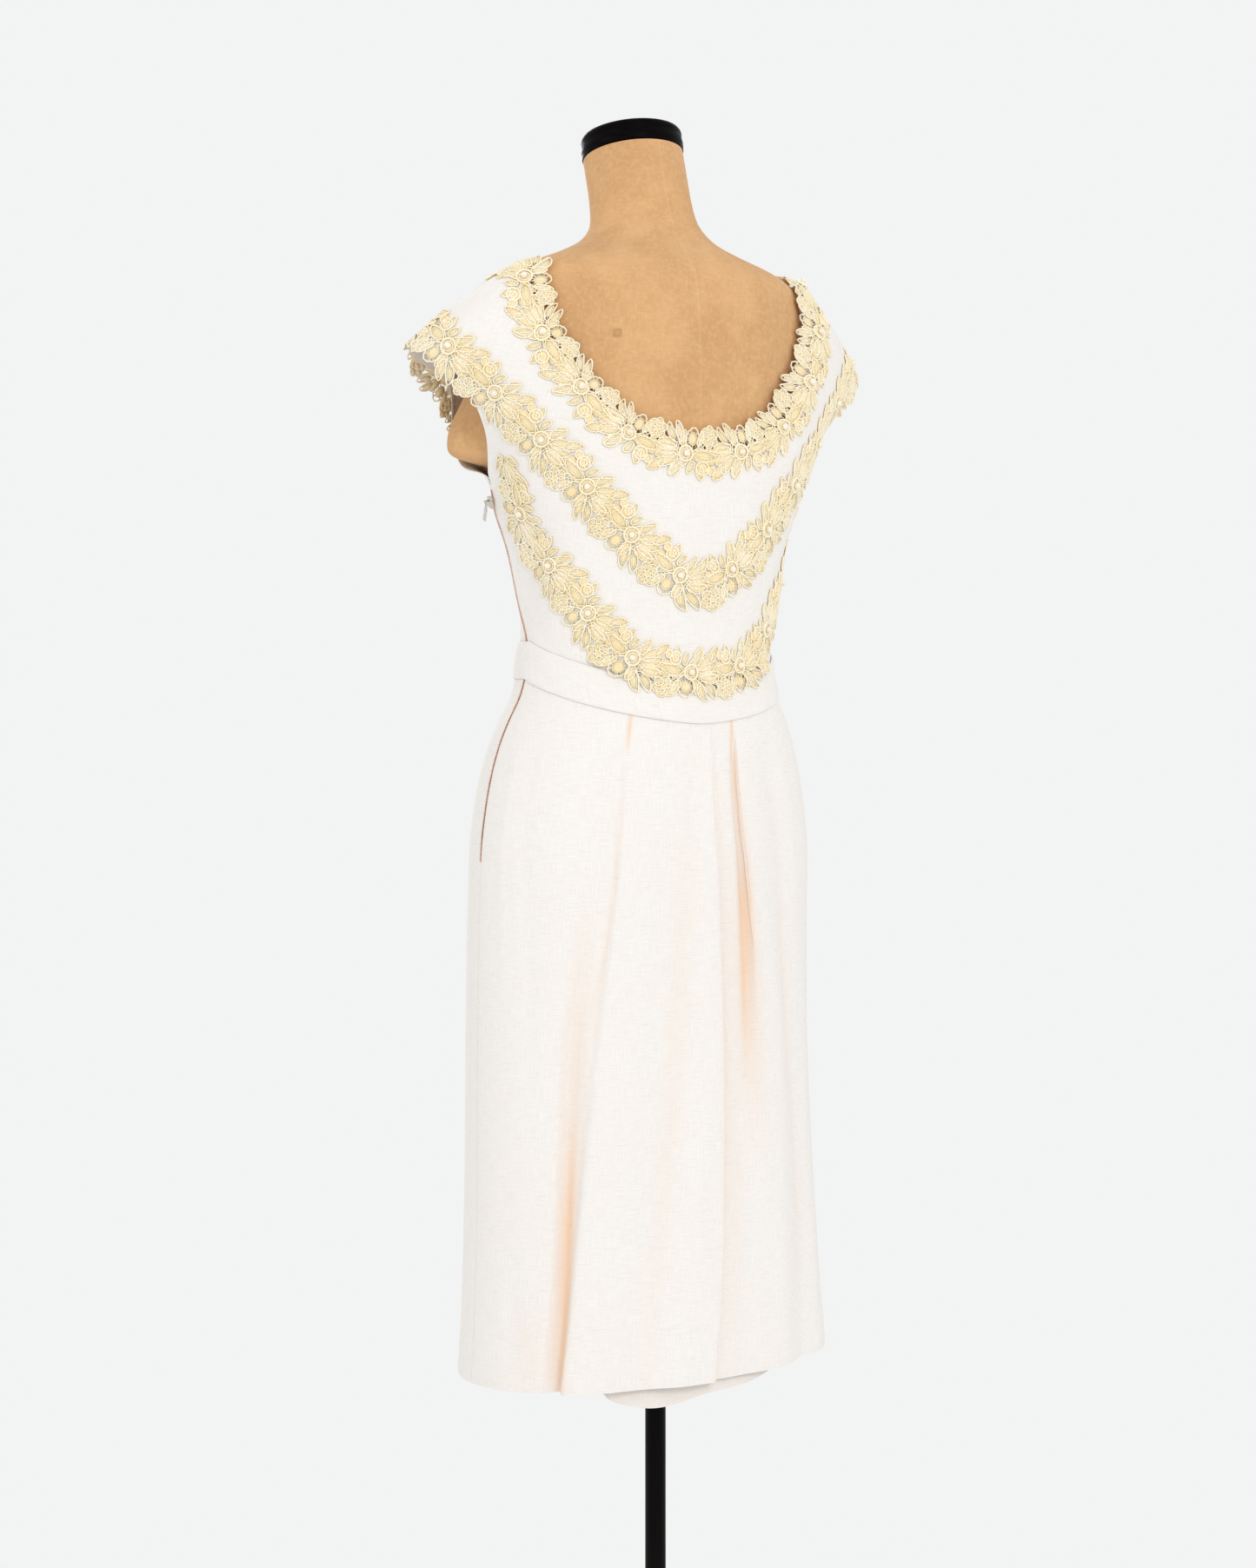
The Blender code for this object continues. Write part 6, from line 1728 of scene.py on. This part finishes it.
def set_along(name, line_name, line, ways, sizes, look, draw):
    """Copies of a small thing spaced along a line and turned to its outward and crosswise ways.

    draw adds the nodes of the thing and of how far each copy is moved, and returns both.
    """
    edges = [(i, i + 1) for i in range(len(line) - 1)]
    source = carrier(line_name, line, edges, [], outward=ways[0], crosswise=ways[1])
    kinds = {title: "Int" if isinstance(value, int) else "Float" for title, value in sizes.items()}
    tree = Tree(name + " along a line", {**kinds, "Thread": "Material"})
    curve = tree.node("GeometryNodeMeshToCurve", Mesh=tree.ask("Geometry"))
    spaced = tree.node("GeometryNodeResampleCurve", {"mode": "LENGTH"}, Curve=curve, Length=tree.ask("Pitch"))
    dots = tree.node("GeometryNodeCurveToPoints", {"mode": "EVALUATED"}, Curve=spaced)
    thing, aside = draw(tree)
    moved = tree.node("GeometryNodeSetPosition", Geometry=dots, Offset=aside)
    turn = tree.node("FunctionNodeAxesToRotation", {"primary_axis": "Z", "secondary_axis": "X"},
                     tree.carried("outward"), tree.carried("crosswise"))
    tree.end(tree.node("GeometryNodeInstanceOnPoints", Points=moved, Instance=thing, Rotation=turn))
    made = tree.make(name, source, {**sizes, "Thread": look})
    bpy.data.objects.remove(source, do_unlink=True)
    return made


def make_hem_stitches(name, looks, outer):
    """Short catch stitches of the hem, which show as a row of tiny floats a little above the edge."""
    above = outer[..., 2] - outer[:1, :, 2]
    row = np.argmax(above[:, outer.shape[1] // 2] > HEM_DEPTH)
    line = outer[row, HEM_ENDS]
    normal = surface_normals(outer)[row, HEM_ENDS]

    def stitch(tree):
        dot = tree.node("GeometryNodeMeshIcoSphere", Radius=tree.ask("Thread radius"), Subdivisions=1)
        longer = tree.node("ShaderNodeCombineXYZ", None, tree.ask("Stitch length"), 1.0, 0.6)
        shift = tree.node("FunctionNodeRandomValue", {"data_type": "FLOAT_VECTOR"}, Seed=tree.ask("Seed"),
                          Min=tuple(-most for most in STITCH_WANDER), Max=STITCH_WANDER)
        return tree.node("GeometryNodeTransform", Geometry=dot, Scale=longer), shift

    ways = normal, unit(np.gradient(line, axis=0))
    return set_along(name, name, line + normal * STITCH_LIFT, ways, STITCH, looks["thread"], stitch)


def declare(obj, slot, *nodes, size=None, held="hung", rests=(), pieces=()):
    """Hang a finished piece on the dress's body and hide the solids it stands for; its slot is not used."""
    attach(obj, "dress_and_form")
    if nodes:
        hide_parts(*nodes)


BACK_FINER = 7.0  # columns of the shown back skirt in each column of its solid
FRONT_FINER = 6.0
LACE_CUT = 0.057  # width of a strip
LACE_SHARE = 0.66  # of a strip that its pattern fills
CUTS = (  # piece, its node, slot, flat width and length, share that the cut fills, how it is held, on what
    ("skirt_back_cloth", "skirt_back", "linen", (0.50, 0.64, 0.92), "hung", ["belt"]),
    ("skirt_front_cloth", "skirt_front", "linen", (0.49, 0.64, 0.93), "hung", ["belt"]),
    ("pleat_backing", "pleat_underlay", "linen", (0.16, 0.62, 1), "hung", ["belt"]),
    ("belt", "waist_belt", "linen", (0.72, 0.036, 1), "stretched", ["skirt_back_cloth", "skirt_front_cloth"]),
    ("bodice_back_cloth", "bodice_back", "linen", (0.50, 0.36, 0.66), "stretched", ["form_canvas_torso"]),
    ("bodice_front_cloth", "bodice_front", "linen", (0.48, 0.36, 0.68), "stretched", ["form_canvas_torso"]),
    ("zip_tape_cloth", "zip_tape", "zip_tape", (0.018, 0.345, 1), "stretched",
     ["bodice_back_cloth", "skirt_back_cloth"]),
)


def main():
    make_camera()
    make_light()
    make_floor()
    looks = make_looks()
    linen = looks["linen"]
    back, back_outer = skirt_panel("skirt_back_cloth", FOLDS, FOLD_SPLITS, (0.0, math.pi), SKIRT_BACK_CREASES,
                                   SKIRT_WARM_SHADE, BACK_FINER, linen, 1)
    front, front_outer = skirt_panel("skirt_front_cloth", FRONT_FOLDS, FRONT_SPLITS, (math.pi, 2 * math.pi),
                                     SKIRT_FRONT_CREASES, (), FRONT_FINER, linen, -1)
    backing = make_underlay(linen)
    belt, belt_outer = make_belt(linen)
    bodice_pieces, grids = make_bodice(linen)
    torso, *fittings = make_form(looks, grids)
    tape, teeth = make_zip(looks, (back_outer, front_outer), grids, BODICE_SPLITS)
    bodice = Bodice(grids, belt_outer, torso, finer(HALF_COLUMNS, BODICE_FINER), BODICE_SPLITS)
    laces = make_lace(looks, bodice)
    hem_stitches = [make_hem_stitches("hem_stitches_" + name, looks, outer)
                    for name, outer in (("back", back_outer), ("front", front_outer))]

    pieces = {piece.name: piece for piece in (back, front, backing, belt, *bodice_pieces, tape)}
    for name, node, slot, size, held, rests in CUTS:
        declare(pieces[name], slot, node, size=size, held=held, rests=rests)
    for name, lace, cords, beads, length in laces:
        rest = "bodice_front_cloth" if "front" in name else "bodice_back_cloth"
        for extra in (cords, beads):
            declare(extra, "lace")
        declare(lace, "lace", name, size=(LACE_CUT, round(length, 3), LACE_SHARE), held="laid", rests=[rest],
                pieces=[cords, beads])
    declare(torso, "form_canvas", "form_torso")
    for piece, node in zip(fittings, ("neck_cap", "stand_flange", "stand_pole", "stand_base")):
        declare(piece, "stand_black", node)
    declare(teeth, "zip_tape")
    for stitches in hem_stitches:
        declare(stitches, "linen")
    for node in ("zip_slider", "zip_pull"):
        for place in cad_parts[node].material_slots:
            place.material = looks["enamel"]


main()
